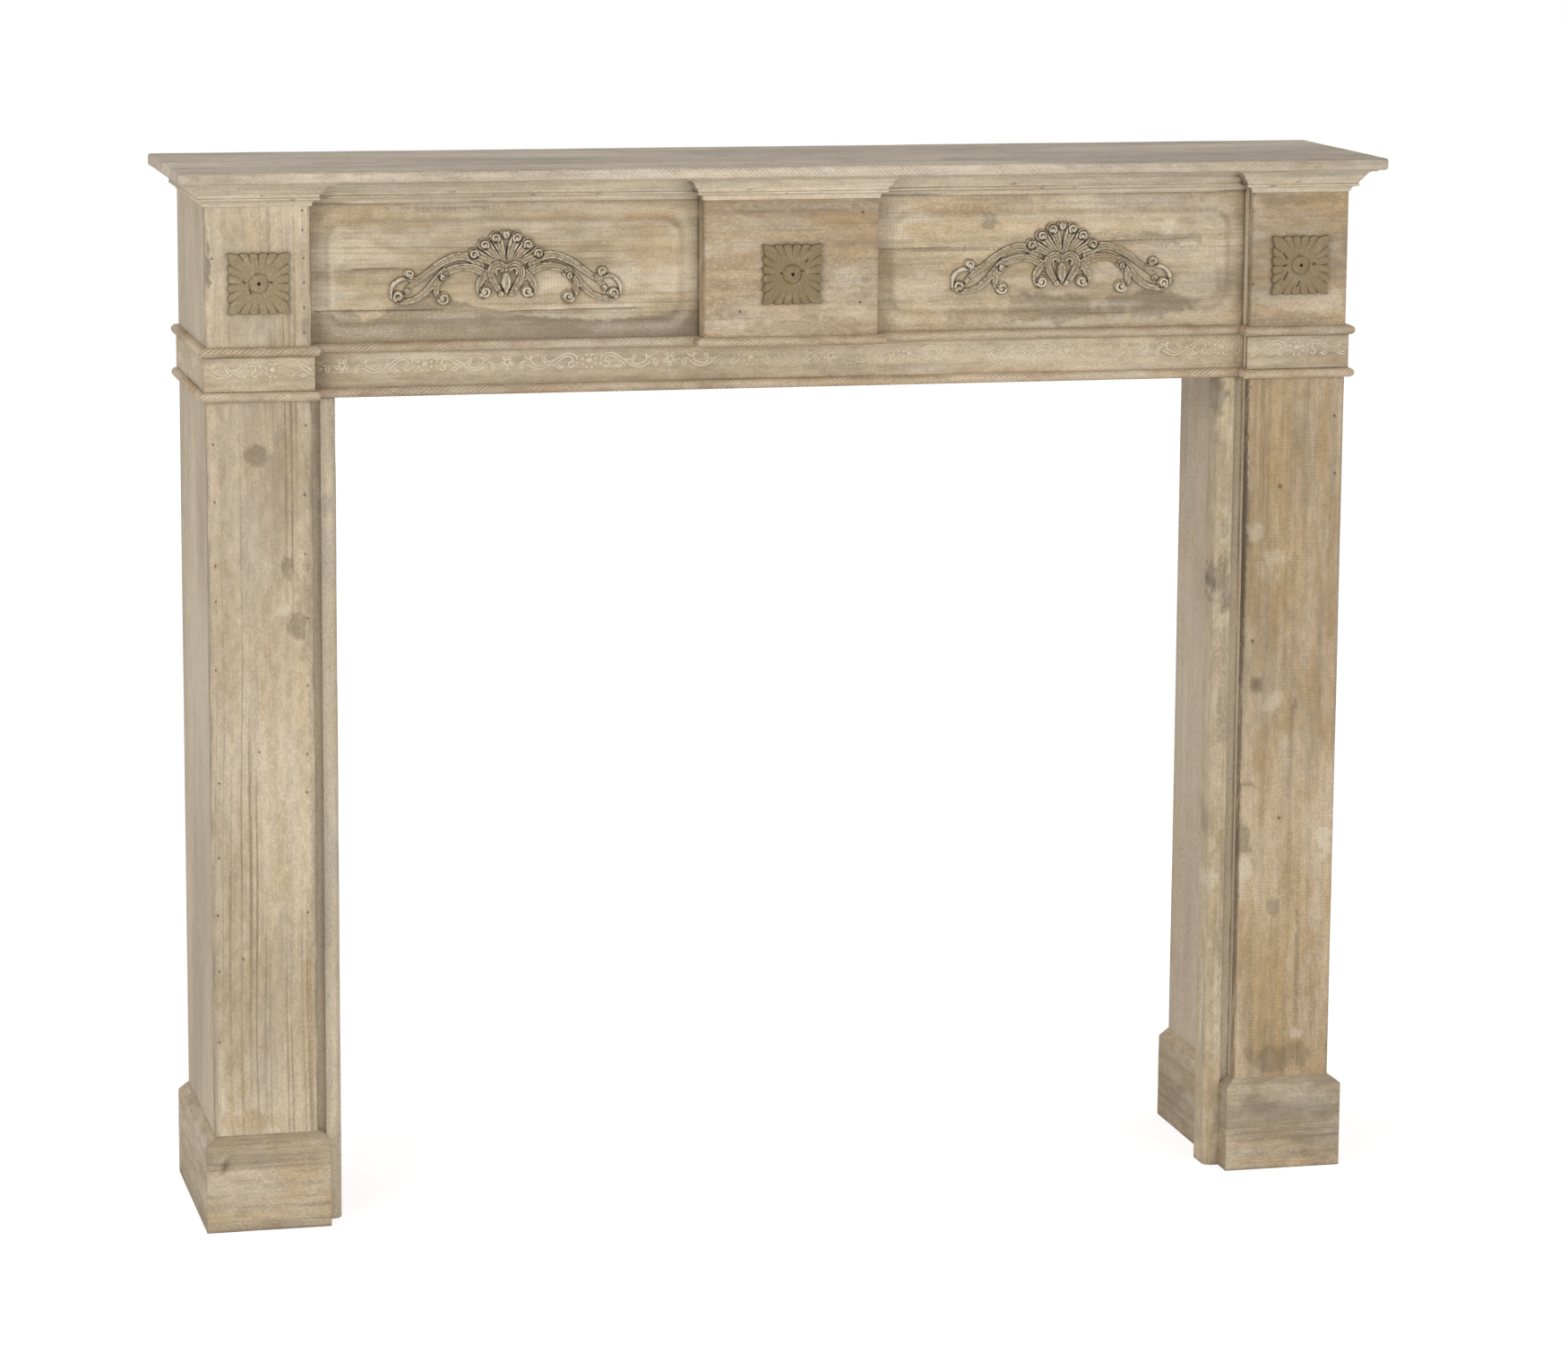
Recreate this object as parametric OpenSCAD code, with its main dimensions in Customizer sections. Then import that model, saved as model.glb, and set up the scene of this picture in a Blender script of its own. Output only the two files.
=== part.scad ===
// Free-standing pine fireplace surround: shelf, crown moulding, frieze with carved onlays,
// rope and scroll bands, two box legs with jamb mouldings and plinths.
// Origin on the floor, at the middle of the width and depth. Front faces -Y, wall plane at +Y.

/* [Shelf] */
// Overall width, across the shelf
shelf_w = 1400; // [1100:1:1800]
// Overall depth, from the shelf's front edge to the wall
shelf_d = 294; // [240:1:360]
// Thickness of the shelf board
shelf_t = 14; // [10:0.5:30]
// Rounding of the shelf's front and end edges
shelf_round = 3.5; // [1:0.5:4.5]
// Overhang of the shelf past the legs at each end
end_overhang = 33; // [28:1:60]
// Overhang of the shelf past the legs at the front
front_overhang = 42; // [28:1:60]

/* [Legs] */
// Width of each leg's front
leg_w = 118; // [90:1:170]
// Thickness of the boards
board_t = 14; // [10:0.5:22]
// Height of the fireplace opening
opening_h = 950; // [600:1:1300]

/* [Jamb mouldings] */
// Width of the moulding beside each leg
jamb_w = 30; // [24:1:45]
// Depth of that moulding, front to back
jamb_d = 38; // [28:1:60]
// How far its face lies behind the leg's face
jamb_setback = 17; // [8:1:20]
// Radius of its free front corner
jamb_r = 11; // [4:0.5:14]
// Depth of the hollow edge next to the leg
jamb_cove = 5; // [2:0.5:8]
// Width of that hollow edge
jamb_cove_w = 11.5; // [5:0.5:13]

/* [Plinths] */
// Height of the plinth blocks
plinth_h = 110; // [80:1:160]
// Thickness of the plinth blocks
plinth_t = 12.5; // [8:0.5:20]
// Height of the sloping top edge
plinth_bevel = 7; // [3:0.5:15]
// Rounding where that slope meets the face
plinth_round = 4; // [1:0.5:6]

/* [Crown moulding] */
// Height of the crown moulding
crown_h = 27; // [22:1:40]
// Projection of the crown moulding
crown_p = 26; // [20:1:27]

/* [Rope and band] */
// Height of the rope mouldings
rope_h = 11; // [8:0.5:16]
// Projection of the rope mouldings
rope_p = 9; // [8:0.5:14]
// Height of the scroll band between the ropes
band_h = 39; // [25:1:60]
// Thickness of the band strips on the legs
band_t = 3; // [2:0.5:6]

/* [Frieze] */
// Height of the frieze between the upper rope and the crown moulding
frieze_h = 156; // [126:1:260]
// Setback of the frieze behind the leg fronts
frieze_setback = 22; // [18:1:30]
// Thickness of the lintel board
lintel_t = 16; // [12:1:24]
// Width of the centre block
centre_w = 204; // [140:1:260]
// Width of the sloping margin around each raised panel
panel_margin = 25; // [12:1:40]
// Depth of that margin at its outer edge
panel_sink = 4; // [2:0.5:7]
// Corner radius of the raised field
panel_corner = 18; // [6:1:30]

/* [Rosettes] */
// Width and height of the square rosettes
rosette_w = 69; // [50:1:90]
// Thickness of the rosettes
rosette_t = 8; // [5:0.5:12]
// Height of the rosettes' centres above the frieze's lower edge
rosette_rise = 71; // [50:1:100]
// Leaf tips along each side of a rosette, the two corner tips counted as one
rosette_lobes = 6; // [4:1:8]
// Depth of the notches between the leaf tips
rosette_notch = 2.6; // [1:0.2:4]

/* [Shell onlays] */
// Width of the shell onlays
onlay_w = 269; // [200:1:340]
// Height of the shell onlays
onlay_h = 87; // [60:1:110]
// Thickness of the shell onlays
onlay_t = 9; // [5:0.5:12]
// Height of their lowest point above the frieze's lower edge
onlay_rise = 38; // [20:1:60]
// Flutes on the right half of each shell, beside the middle one
shell_flutes = 3; // [2:1:5]

/* [Hidden] */
$fn = 48;
eps = 0.01;

// Planes
end_x = shelf_w / 2;
wall_y = shelf_d / 2;
face_y = -shelf_d / 2 + front_overhang;
frieze_y = face_y + frieze_setback;
leg_out_x = end_x - end_overhang;
leg_in_x = leg_out_x - leg_w;
centre_x = centre_w / 2;
back_y = face_y + board_t;

// Levels
band_z = opening_h + rope_h;
upper_rope_z = band_z + band_h;
frieze_z = upper_rope_z + rope_h;
crown_z = frieze_z + frieze_h;
shelf_z = crown_z + crown_h;
joint_z = band_z + band_h / 2;

// The ornaments' places on the frieze
onlay_x = (leg_in_x + centre_x) / 2;
rosette_x = (leg_in_x + leg_out_x) / 2;
rosette_z = frieze_z + rosette_rise;

// Plan line that the crown and the ropes follow, from the wall on the left to the wall on the right
left_bend = [[-leg_out_x, wall_y], [-leg_out_x, face_y], [-leg_in_x, face_y], [-leg_in_x, frieze_y]];
right_bend = [[leg_in_x, frieze_y], [leg_in_x, face_y], [leg_out_x, face_y], [leg_out_x, wall_y]];
centre_bend = [[-centre_x, frieze_y], [-centre_x, face_y], [centre_x, face_y], [centre_x, frieze_y]];
frieze_line = concat(left_bend, centre_bend, right_bend);
lintel_line = concat(left_bend, right_bend);

// Names of the lengths of moulding along those lines
FRIEZE_LENGTHS = ["left_side", "left_front", "left_return", "left_frieze", "centre_left",
    "centre_front", "centre_right", "right_frieze", "right_return", "right_front", "right_side"];
LINTEL_LENGTHS = ["left_side", "left_front", "left_return", "lintel", "right_return", "right_front",
    "right_side"];
CROWN = [for (n = FRIEZE_LENGTHS) str("crown_", n)];
UPPER_ROPE = [for (n = FRIEZE_LENGTHS) str("upper_rope_", n)];
LOWER_ROPE = [for (n = LINTEL_LENGTHS) str("lower_rope_", n)];
SIDES = ["left", "right"];
PLINTH_PARTS = ["side", "front", "return", "reveal"];
ROSETTES = ["rosette_left", "rosette_centre", "rosette_right"];

function both(name) = [for (s = SIDES) str(s, "_", name)];
PLINTHS = [for (s = SIDES) for (p = PLINTH_PARTS) str(s, "_plinth_", p)];

// ---- Profiles: x is the projection from the wall behind, y is the height ----

function arc(cx, cy, rx, ry, from, to, steps = 6) =
    [for (i = [0:steps]) let (a = from + (to - from) * i / steps) [cx + rx * cos(a), cy + ry * sin(a)]];

// The crown's pattern is drawn at this height and projection, then scaled to crown_h and crown_p
crown_pattern_h = 27;
crown_pattern_p = 26;
function crown_level(z) = z / crown_pattern_h * crown_h;
function crown_out(x) = x / crown_pattern_p * crown_p;

// The crown's profile, from the bottom: fillet, small cove, bead, ogee, fillet, wide cove, fillet
module crown_profile() {
    ogee_low = crown_level(10);
    ogee_high = crown_level(19);
    steps = 8;
    polygon(concat(
        [[0, 0], [crown_out(1.5), 0]],
        arc(crown_out(7), crown_level(1), crown_out(5.5), crown_level(5.5), 180, 90),
        arc(crown_out(7.8), crown_level(8.2), crown_out(1.7), crown_level(1.7), -90, 90),
        [for (i = [0:steps]) let (t = i / steps)
            [crown_out(9 + 5 * (t - sin(360 * t) / 8)), ogee_low + (ogee_high - ogee_low) * t]],
        [[crown_out(15.5), ogee_high], [crown_out(15.5), crown_level(20.5)]],
        arc(crown_out(24.5), crown_level(20.5), crown_out(8), crown_level(4.2), 180, 90),
        [[crown_p, crown_level(24.7)], [crown_p, crown_h], [0, crown_h]]));
}

// The rope's profile before its carving: a half round on a flat back
module rope_profile() {
    square([rope_p - rope_h / 2, rope_h]);
    translate([rope_p - rope_h / 2, rope_h / 2]) intersection() {
        circle(d = rope_h);
        translate([0, -rope_h / 2]) square([rope_h / 2, rope_h]);
    }
}

module band_profile() {
    square([band_t, band_h]);
}

// The plinth's profile: a flat face, a small rounding and a top edge sloping back to the leg
module plinth_profile() {
    polygon(concat(
        [[0, 0], [plinth_t, 0]],
        arc(plinth_t - plinth_round, plinth_h - plinth_bevel - plinth_round,
            plinth_round, plinth_round, 0, 60),
        [[0, plinth_h]]));
}

// ---- Mitred mouldings ----

// One length of moulding from plan point a to plan point b, standing out to the right of that
// direction. turn is 1 at an outside corner, -1 at an inside corner and 0 at a square end.
module trim_leg(a, b, turn_a, turn_b, out, h) {
    run = norm(b - a);
    translate([a[0], a[1], 0]) rotate([0, 0, atan2(b[1] - a[1], b[0] - a[0])]) mirror([0, 1, 0])
        intersection() {
            translate([-out, 0, 0]) rotate([90, 0, 90]) linear_extrude(run + 2 * out) children();
            linear_extrude(h) polygon([
                [0, 0], [run, 0], [run + turn_b * out, out], [-turn_a * out, out]]);
        }
}

// 1 where the line turns outwards at point i, -1 where it turns inwards, 0 at its ends
function turn_at(line, i) =
    i == 0 || i == len(line) - 1 ? 0 :
    let (d1 = line[i] - line[i - 1], d2 = line[i + 1] - line[i])
    sign(d1[0] * d2[1] - d1[1] * d2[0]);

module line_leg(line, i, out, h) {
    trim_leg(line[i], line[i + 1], turn_at(line, i), turn_at(line, i + 1), out, h) children();
}

module crown(i) {
    color("tan") translate([0, 0, crown_z]) line_leg(frieze_line, i, crown_p, crown_h) crown_profile();
}

module upper_rope(i) {
    color("burlywood") translate([0, 0, upper_rope_z])
        line_leg(frieze_line, i, rope_p, rope_h) rope_profile();
}

module lower_rope(i) {
    color("burlywood") translate([0, 0, opening_h])
        line_leg(lintel_line, i, rope_p, rope_h) rope_profile();
}

// ---- Shelf ----

// A board's edge profile: width w, thickness t, both long edges rounded
module rounded_edge(w, t, r) {
    union() {
        translate([0, r]) square([w, t - 2 * r]);
        translate([r, 0]) square([w - 2 * r, t]);
        for (x = [r, w - r]) for (y = [r, t - r]) translate([x, y]) circle(r = r);
    }
}

module shelf() {
    color("gray") intersection() {
        translate([-end_x, 0, shelf_z]) rotate([90, 0, 0])
            linear_extrude(shelf_d + 2, center = true) rounded_edge(shelf_w, shelf_t, shelf_round);
        translate([-end_x - 1, -shelf_d / 2, shelf_z]) rotate([90, 0, 90])
            linear_extrude(shelf_w + 2) rounded_edge(shelf_d + 2 * shelf_round, shelf_t, shelf_round);
        translate([-end_x, -shelf_d / 2, shelf_z]) cube([shelf_w, shelf_d, shelf_t]);
    }
}

// ---- Boards, drawn for the right-hand leg and mirrored for the left ----

module on_side(side) {
    if (side == "left") mirror([1, 0, 0]) children();
    else children();
}

// A board from x0 to x1, y0 to y1, z0 to z1
module board(x0, x1, y0, y1, z0, z1) {
    translate([x0, y0, z0]) cube([x1 - x0, y1 - y0, z1 - z0]);
}

// The left leg's front is one board from the floor to the shelf
module left_front_board() {
    color("wheat") on_side("left") board(leg_in_x, leg_out_x, face_y, back_y, 0, shelf_z);
}

// The right leg's front is two boards, which meet behind the band
module right_pilaster_board() {
    color("wheat") board(leg_in_x, leg_out_x, face_y, back_y, 0, joint_z);
}

module right_end_block() {
    color("wheat") board(leg_in_x, leg_out_x, face_y, back_y, joint_z, shelf_z);
}

module outer_side(side) {
    color("tan") on_side(side) board(leg_out_x - board_t, leg_out_x, back_y, wall_y, 0, shelf_z);
}

module inner_side(side) {
    color("tan") on_side(side) board(leg_in_x, leg_in_x + board_t, back_y, wall_y, 0, shelf_z);
}

module centre_block() {
    color("wheat") board(-centre_x, centre_x, face_y, frieze_y, upper_rope_z, shelf_z);
}

module lintel_band() {
    color("wheat") board(-leg_in_x, leg_in_x, frieze_y, frieze_y + lintel_t, opening_h, frieze_z);
}

// A rectangle with round corners, as a slab of thickness t behind the plane y
module field_slab(x0, x1, z0, z1, r, y, t) {
    translate([0, y + t, 0]) rotate([90, 0, 0]) linear_extrude(t) hull()
        for (x = [x0 + r, x1 - r]) for (z = [z0 + r, z1 - r]) translate([x, z]) circle(r = r, $fn = 32);
}

// A frieze board with a raised field: its margins slope back towards the crown, rope and blocks
module frieze_panel(side) {
    color("wheat") on_side(side) {
        field_x0 = centre_x + panel_margin;
        field_x1 = leg_in_x - panel_margin;
        field_z0 = frieze_z + panel_margin;
        field_z1 = crown_z - panel_margin;
        sunk_y = frieze_y + panel_sink;
        union() {
            board(0, leg_in_x, sunk_y, frieze_y + board_t, frieze_z, shelf_z);
            board(0, leg_in_x, frieze_y, sunk_y, crown_z, shelf_z);
            board(0, centre_x, frieze_y, sunk_y, frieze_z, crown_z);
            hull() {
                field_slab(field_x0, field_x1, field_z0, field_z1, panel_corner, frieze_y, eps);
                board(centre_x, leg_in_x, sunk_y, sunk_y + eps, frieze_z, crown_z);
            }
        }
    }
}

// Upright beside the leg: a round free corner, a flat face and a hollow edge next to the leg
module jamb_moulding(side) {
    front = face_y + jamb_setback;
    free_x = leg_in_x - jamb_w;
    color("tan") on_side(side) linear_extrude(opening_h) polygon(concat(
        [[leg_in_x, front + jamb_d], [free_x, front + jamb_d]],
        arc(free_x + jamb_r, front + jamb_r, jamb_r, jamb_r, 180, 270, 8),
        arc(leg_in_x, front, jamb_cove_w, jamb_cove, 180, 90)));
}

// Plan line of a left-hand plinth: along the side, across the front and back to the jamb moulding
plinth_line = [[-leg_out_x, wall_y], [-leg_out_x, face_y], [-leg_in_x, face_y],
    [-leg_in_x, face_y + jamb_setback]];
// Plan line of the plinth on the reveal, behind the jamb moulding
reveal_line = [[-leg_in_x, face_y + jamb_setback + jamb_d], [-leg_in_x, wall_y]];

module plinth(side, i) {
    color("tan") on_side(side == "left" ? "right" : "left") {
        if (i < 3) line_leg(plinth_line, i, plinth_t, plinth_h) plinth_profile();
        else line_leg(reveal_line, 0, plinth_t, plinth_h) plinth_profile();
    }
}

// Band strips on the legs: 0 is the side, 1 is the front, which ends just past the leg's inner edge
module leg_band(side, i) {
    color("wheat") on_side(side == "left" ? "right" : "left") translate([0, 0, band_z]) {
        if (i == 0) trim_leg(left_bend[0], left_bend[1], 0, 1, band_t, band_h) band_profile();
        else trim_leg(left_bend[1], left_bend[2] + [band_t, 0], 1, 0, band_t, band_h) band_profile();
    }
}

// ---- Rosettes ----

// Points around the rim
rosette_around = 96;

// Position along a side of the square, 0 at one corner and 1 at the next
function side_share(a) = (tan(((a + 45) % 90) - 45) + 1) / 2;

// Number of leaf tips passed along the side
function leaf_phase(a) = side_share(a) * rosette_lobes;

// Bulge of a leaf, 0 in the notches and 1 along its middle; a corner leaf spans the corner
function leaf_bulge(a) =
    let (p = leaf_phase(a))
    p < 1 ? cos(90 * p) : p > rosette_lobes - 1 ? cos(90 * (rosette_lobes - p)) : abs(sin(180 * p));

function rosette_r(a) =
    (rosette_w / 2 - rosette_notch * (1 - leaf_bulge(a))) / max(abs(cos(a)), abs(sin(a)));

// Rings of the rosette, rim to centre: [share of the radius, share of the thickness, 1 if leafy]
rosette_rings = [[1, 0, 1], [1, 0.45, 1], [0.88, 0.7, 1], [0.55, 0.85, 1], [0.28, 0.5, 0],
    [0.2, 0.9, 0]];
// Depth of the grooves between the leaves
leaf_groove = 1.1;

function rosette_height(a, ring) =
    ring[1] * rosette_t - (ring[2] == 1 && ring[0] < 1 ? leaf_groove * (1 - leaf_bulge(a)) * ring[0] : 0);

// A leafy ring follows the square outline, and the boss's rings are round
function ring_point(a, ring) =
    let (r = ring[0] * (ring[2] == 1 ? rosette_r(a) : rosette_w / 2))
    [r * cos(a), -rosette_height(a, ring), r * sin(a)];

// Square patera of radiating leaves around a small boss
module rosette(i) {
    n = rosette_around;
    rings = len(rosette_rings);
    points = concat(
        [for (ring = rosette_rings) for (k = [0:n - 1]) ring_point(360 * k / n, ring)],
        [[0, 0, 0], [0, -rosette_t, 0]]);
    walls = [for (j = [0:rings - 2]) for (k = [0:n - 1]) each [
        [j * n + k, j * n + (k + 1) % n, (j + 1) * n + k],
        [j * n + (k + 1) % n, (j + 1) * n + (k + 1) % n, (j + 1) * n + k]]];
    back = [for (k = [0:n - 1]) [rings * n, (k + 1) % n, k]];
    cap = [for (k = [0:n - 1]) [rings * n + 1, (rings - 1) * n + k, (rings - 1) * n + (k + 1) % n]];
    color("darkkhaki") translate([(i - 1) * rosette_x, face_y, rosette_z])
        polyhedron(points, concat(walls, back, cap));
}

// ---- Shell onlays ----

// Design size of the onlay's pattern, which is then scaled to onlay_w and onlay_h
pattern_half_w = 134.5;
pattern_h = 87;
function fit(p) = [p[0] / pattern_half_w * onlay_w / 2, p[1] / pattern_h * onlay_h];

// Share of a stroke's half width that is left on top, between its sloping sides
pad_crest = 0.55;
// Heights of the strokes: of the heart, the shell and arms, the volutes, the small curls
full_t = onlay_t;
arm_t = onlay_t * 0.85;
volute_t = onlay_t * 0.78;
curl_t = onlay_t * 0.67;

// A stroke's bead: a low round pad with sloping sides, standing out from the frieze
module pad(p, r, h) {
    at = fit(p);
    translate([at[0], 0, at[1]]) rotate([90, 0, 0])
        cylinder(r1 = r, r2 = r * pad_crest, h = h, $fn = 8);
}

// A carved stroke through points p, its half width going from r0 to r1
module stroke(p, r0, r1, h0, h1) {
    last = len(p) - 1;
    for (i = [0:last - 1]) hull() {
        pad(p[i], r0 + (r1 - r0) * i / last, h0 + (h1 - h0) * i / last);
        pad(p[i + 1], r0 + (r1 - r0) * (i + 1) / last, h0 + (h1 - h0) * (i + 1) / last);
    }
}

// A cubic curve between p[0] and p[3]
function bezier(p, steps) = [for (i = [0:steps]) let (t = i / steps, s = 1 - t)
    s * s * s * p[0] + 3 * s * s * t * p[1] + 3 * s * t * t * p[2] + t * t * t * p[3]];

// A volute around c, from radius r0 to r1, starting at angle a and turning by sweep
function volute(c, r0, r1, a, sweep, steps) = [for (i = [0:steps]) let (t = i / steps)
    c + (r0 + (r1 - r0) * t) * [cos(a + sweep * t), sin(a + sweep * t)]];

// Shell: where its flutes meet, their length, their lean at the sides and their half width
shell_root = [0, 46];
flute_l = 35;
flute_lean = 73;
flute_r = 6.2;
flute_root_r = 4;

// Right half of the onlay; x is 0 at the middle and y is 0 at the lowest point
module onlay_half() {
    for (i = [0:shell_flutes]) {
        lean = flute_lean * i / shell_flutes;
        hull() {
            pad(shell_root, flute_root_r, curl_t);
            pad(shell_root + flute_l * [sin(lean), cos(lean)], flute_r, arm_t);
        }
    }
    // Two-lobed heart below the shell
    stroke(bezier([[2, 40], [10, 48], [20, 40], [15, 28]], 3), 5, 6, full_t, full_t);
    stroke(bezier([[15, 28], [12, 20], [8, 16], [5, 14]], 2), 6, 4, full_t, curl_t);
    // Leaf curl beside the heart
    stroke(concat([[20, 36], [21, 24]], volute([26, 16], 6, 2, 150, 280, 4)), 3.5, 2.6, curl_t, curl_t);
    // Arched arm, running down into the end volute
    stroke(bezier([[12, 40], [40, 62], [72, 56], [100, 22]], 6), 6.5, 6, arm_t, volute_t);
    stroke(concat([[100, 22]], volute([120.5, 15], 11, 2.5, 205, 390, 6)), 5.5, 3, volute_t, volute_t);
    // Small curl above the volute
    stroke(concat([[130, 22], [122, 30]], volute([110, 38], 4.6, 2, -40, 260, 3)),
        3.2, 2.5, curl_t, curl_t);
    // Curl that hangs from the arm
    stroke(concat([[60, 48], [78, 32], [82, 22]], volute([70, 12], 7.5, 2, 20, -360, 5)),
        5, 2.8, volute_t, curl_t);
}

module shell_onlay(side) {
    color("darkkhaki") on_side(side) translate([onlay_x, frieze_y, frieze_z + onlay_rise])
        intersection() {
            union() {
                onlay_half();
                mirror([1, 0, 0]) onlay_half();
            }
            translate([-onlay_w / 2, -onlay_t, 0]) cube([onlay_w, onlay_t, onlay_h]);
        }
}

// ---- The pieces ----

shelf();
for (i = [0:len(CROWN) - 1]) crown(i);
for (i = [0:len(UPPER_ROPE) - 1]) upper_rope(i);
for (i = [0:len(LOWER_ROPE) - 1]) lower_rope(i);
leg_band("left", 0);  // band_left_side
leg_band("left", 1);  // band_left_front
leg_band("right", 1);  // band_right_front
leg_band("right", 0);  // band_right_side
lintel_band();
left_front_board();
right_pilaster_board();
right_end_block();
centre_block();
for (s = SIDES) outer_side(s);
for (s = SIDES) inner_side(s);
for (s = SIDES) frieze_panel(s);
for (s = SIDES) jamb_moulding(s);
for (s = SIDES) for (i = [0:3])
    plinth(s, i);
for (i = [0:2]) rosette(i);
for (s = SIDES) shell_onlay(s);
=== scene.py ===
"""Fireplace mantelpiece of weathered, limed pine: detailed pieces and materials around the CAD frame."""
import math

import bpy
import numpy as np
from mathutils import Matrix, Vector


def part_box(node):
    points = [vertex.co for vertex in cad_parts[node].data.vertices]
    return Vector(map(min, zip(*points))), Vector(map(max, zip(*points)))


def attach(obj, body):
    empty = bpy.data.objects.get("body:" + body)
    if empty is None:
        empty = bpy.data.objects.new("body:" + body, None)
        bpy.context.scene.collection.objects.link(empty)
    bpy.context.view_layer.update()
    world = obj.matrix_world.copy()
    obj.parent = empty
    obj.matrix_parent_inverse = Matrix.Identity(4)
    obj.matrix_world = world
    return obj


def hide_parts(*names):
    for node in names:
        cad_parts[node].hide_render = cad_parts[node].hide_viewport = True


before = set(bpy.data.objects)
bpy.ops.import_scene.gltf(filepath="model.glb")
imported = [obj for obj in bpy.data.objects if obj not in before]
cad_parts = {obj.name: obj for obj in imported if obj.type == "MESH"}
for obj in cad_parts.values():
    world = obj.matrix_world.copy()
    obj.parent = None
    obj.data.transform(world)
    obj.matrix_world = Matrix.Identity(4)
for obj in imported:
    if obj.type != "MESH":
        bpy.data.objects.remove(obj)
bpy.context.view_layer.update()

MM = 0.001


def box(node):
    lo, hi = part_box(node)
    return np.array(lo) / MM, np.array(hi) / MM


# ---- Sizes in millimetres, read from the CAD frame ----
SHELF_LO, SHELF_HI = box("shelf")
LEG_LO, LEG_HI = box("right_pilaster_board")
LEG_IN, LEG_OUT, FACE_Y = LEG_LO[0], LEG_HI[0], LEG_LO[1]
WALL_Y = SHELF_HI[1]
LINTEL_LO, LINTEL_HI = box("lintel_band")
FRIEZE_Y, OPENING_Z, FRIEZE_Z = LINTEL_LO[1], LINTEL_LO[2], LINTEL_HI[2]
CENTRE_X = box("centre_block")[1][0]
CROWN_Z = box("crown_left_front")[0][2]
SHELF_Z = SHELF_LO[2]
CROWN_P = FACE_Y - box("crown_left_front")[0][1]
ROPE_H = box("lower_rope_lintel")[1][2] - OPENING_Z
ROPE_P = FRIEZE_Y - box("lower_rope_lintel")[0][1]
BAND_LO, BAND_HI = box("band_left_front")
BAND_Z, UPPER_ROPE_Z = BAND_LO[2], BAND_HI[2]
BAND_T = FACE_Y - BAND_LO[1]
PLINTH_LO, PLINTH_HI = box("right_plinth_front")
PLINTH_H, PLINTH_T = PLINTH_HI[2], FACE_Y - PLINTH_LO[1]
JAMB_LO, JAMB_HI = box("right_jamb_moulding")


# ---- Noise on points, 0 to 1 ----
def lattice(i, j, k, seed):
    """A fixed value for each point of the lattice."""
    h = (i * 73856093) ^ (j * 19349663) ^ (k * 83492791) ^ (seed * 40503 + 977)
    h = (h & 0xFFFFFFFF) * 1274126177 & 0xFFFFFFFF
    h = (h ^ (h >> 15)) * 2246822519 & 0xFFFFFFFF
    return ((h ^ (h >> 13)) & 0xFFFF) / 65535.0


def noise(p, size, seed=0):
    """Smooth noise. size is one number, or one for each axis."""
    q = np.asarray(p, float) / size
    base = np.floor(q).astype(np.int64)
    f = q - base
    f = f * f * (3 - 2 * f)
    total = 0
    for a in (0, 1):
        for b in (0, 1):
            for c in (0, 1):
                w = [f[:, n] if far else 1 - f[:, n] for n, far in enumerate((a, b, c))]
                corner = lattice(base[:, 0] + a, base[:, 1] + b, base[:, 2] + c, seed)
                total = total + w[0] * w[1] * w[2] * corner
    return total


def fbm(p, size, seed=0, octaves=3):
    """Noise summed over octaves, each half the size and strength of the last."""
    size = np.asarray(size, float)
    total, amp, norm = 0, 1.0, 0
    for o in range(octaves):
        total = total + amp * noise(p, size / 2**o, seed + 17 * o)
        norm += amp
        amp *= 0.5
    return total / norm


def step01(x, lo, hi):
    """A smooth step from 0 at lo to 1 at hi."""
    t = np.clip((x - lo) / (hi - lo), 0, 1)
    return t * t * (3 - 2 * t)


# ---- Making a piece ----
pieces = []
# The first channel holds grime and also painted shade in corners, grooves and joints; the second holds lime
# and also painted highlights and pale colour that lifts shaded parts
DIRT_AND_SHADE, LIME_AND_LIGHT, GREY, BROWN = range(4)  # the channels of tone


def make(name, verts, faces, slot, nodes, wood, tone, angle=38):
    """verts in mm; faces is a list of index arrays; wood holds (along, across, depth) in mm;
    tone holds (grime with painted shade, lime with painted light, grey, brown), each 0 to 1."""
    mesh = bpy.data.meshes.new(name)
    all_faces = [f for part in faces for f in np.asarray(part).tolist()]
    mesh.from_pydata((np.asarray(verts) * MM).tolist(), [], all_faces)
    # Each piece has its own part of the grain
    s = len(pieces) + 1
    offset = np.array([3.1 * s, 0.37 * s + 1.3, 0.61 * s])
    attr = mesh.attributes.new("wood", "FLOAT_VECTOR", "POINT")
    attr.data.foreach_set("vector", (np.asarray(wood) * MM + offset).astype(np.float32).ravel())
    attr = mesh.attributes.new("tone", "FLOAT_COLOR", "POINT")
    attr.data.foreach_set("color", np.clip(tone, 0, 1).astype(np.float32).ravel())
    mesh.validate()
    mesh.shade_smooth()
    mesh.set_sharp_from_angle(angle=math.radians(angle))
    obj = bpy.data.objects.new(name, mesh)
    bpy.context.scene.collection.objects.link(obj)
    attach(obj, "root")
    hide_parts(*nodes)
    mesh.materials.append(materials[slot])
    pieces.append(obj)


def deepen(tone, channel, amount):
    """Raises a channel of tone to amount where it is less."""
    tone[:, channel] = np.maximum(tone[:, channel], amount)


def ring_faces(n, m):
    """Quads round n loops of m points, and a cap at each end."""
    i, k = np.meshgrid(np.arange(n - 1), np.arange(m), indexing="ij")
    k2 = (k + 1) % m
    quads = np.stack([i * m + k, (i + 1) * m + k, (i + 1) * m + k2, i * m + k2], -1).reshape(-1, 4)
    return [quads, np.arange(m)[None, :], (n - 1) * m + np.arange(m)[None, ::-1]]


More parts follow.
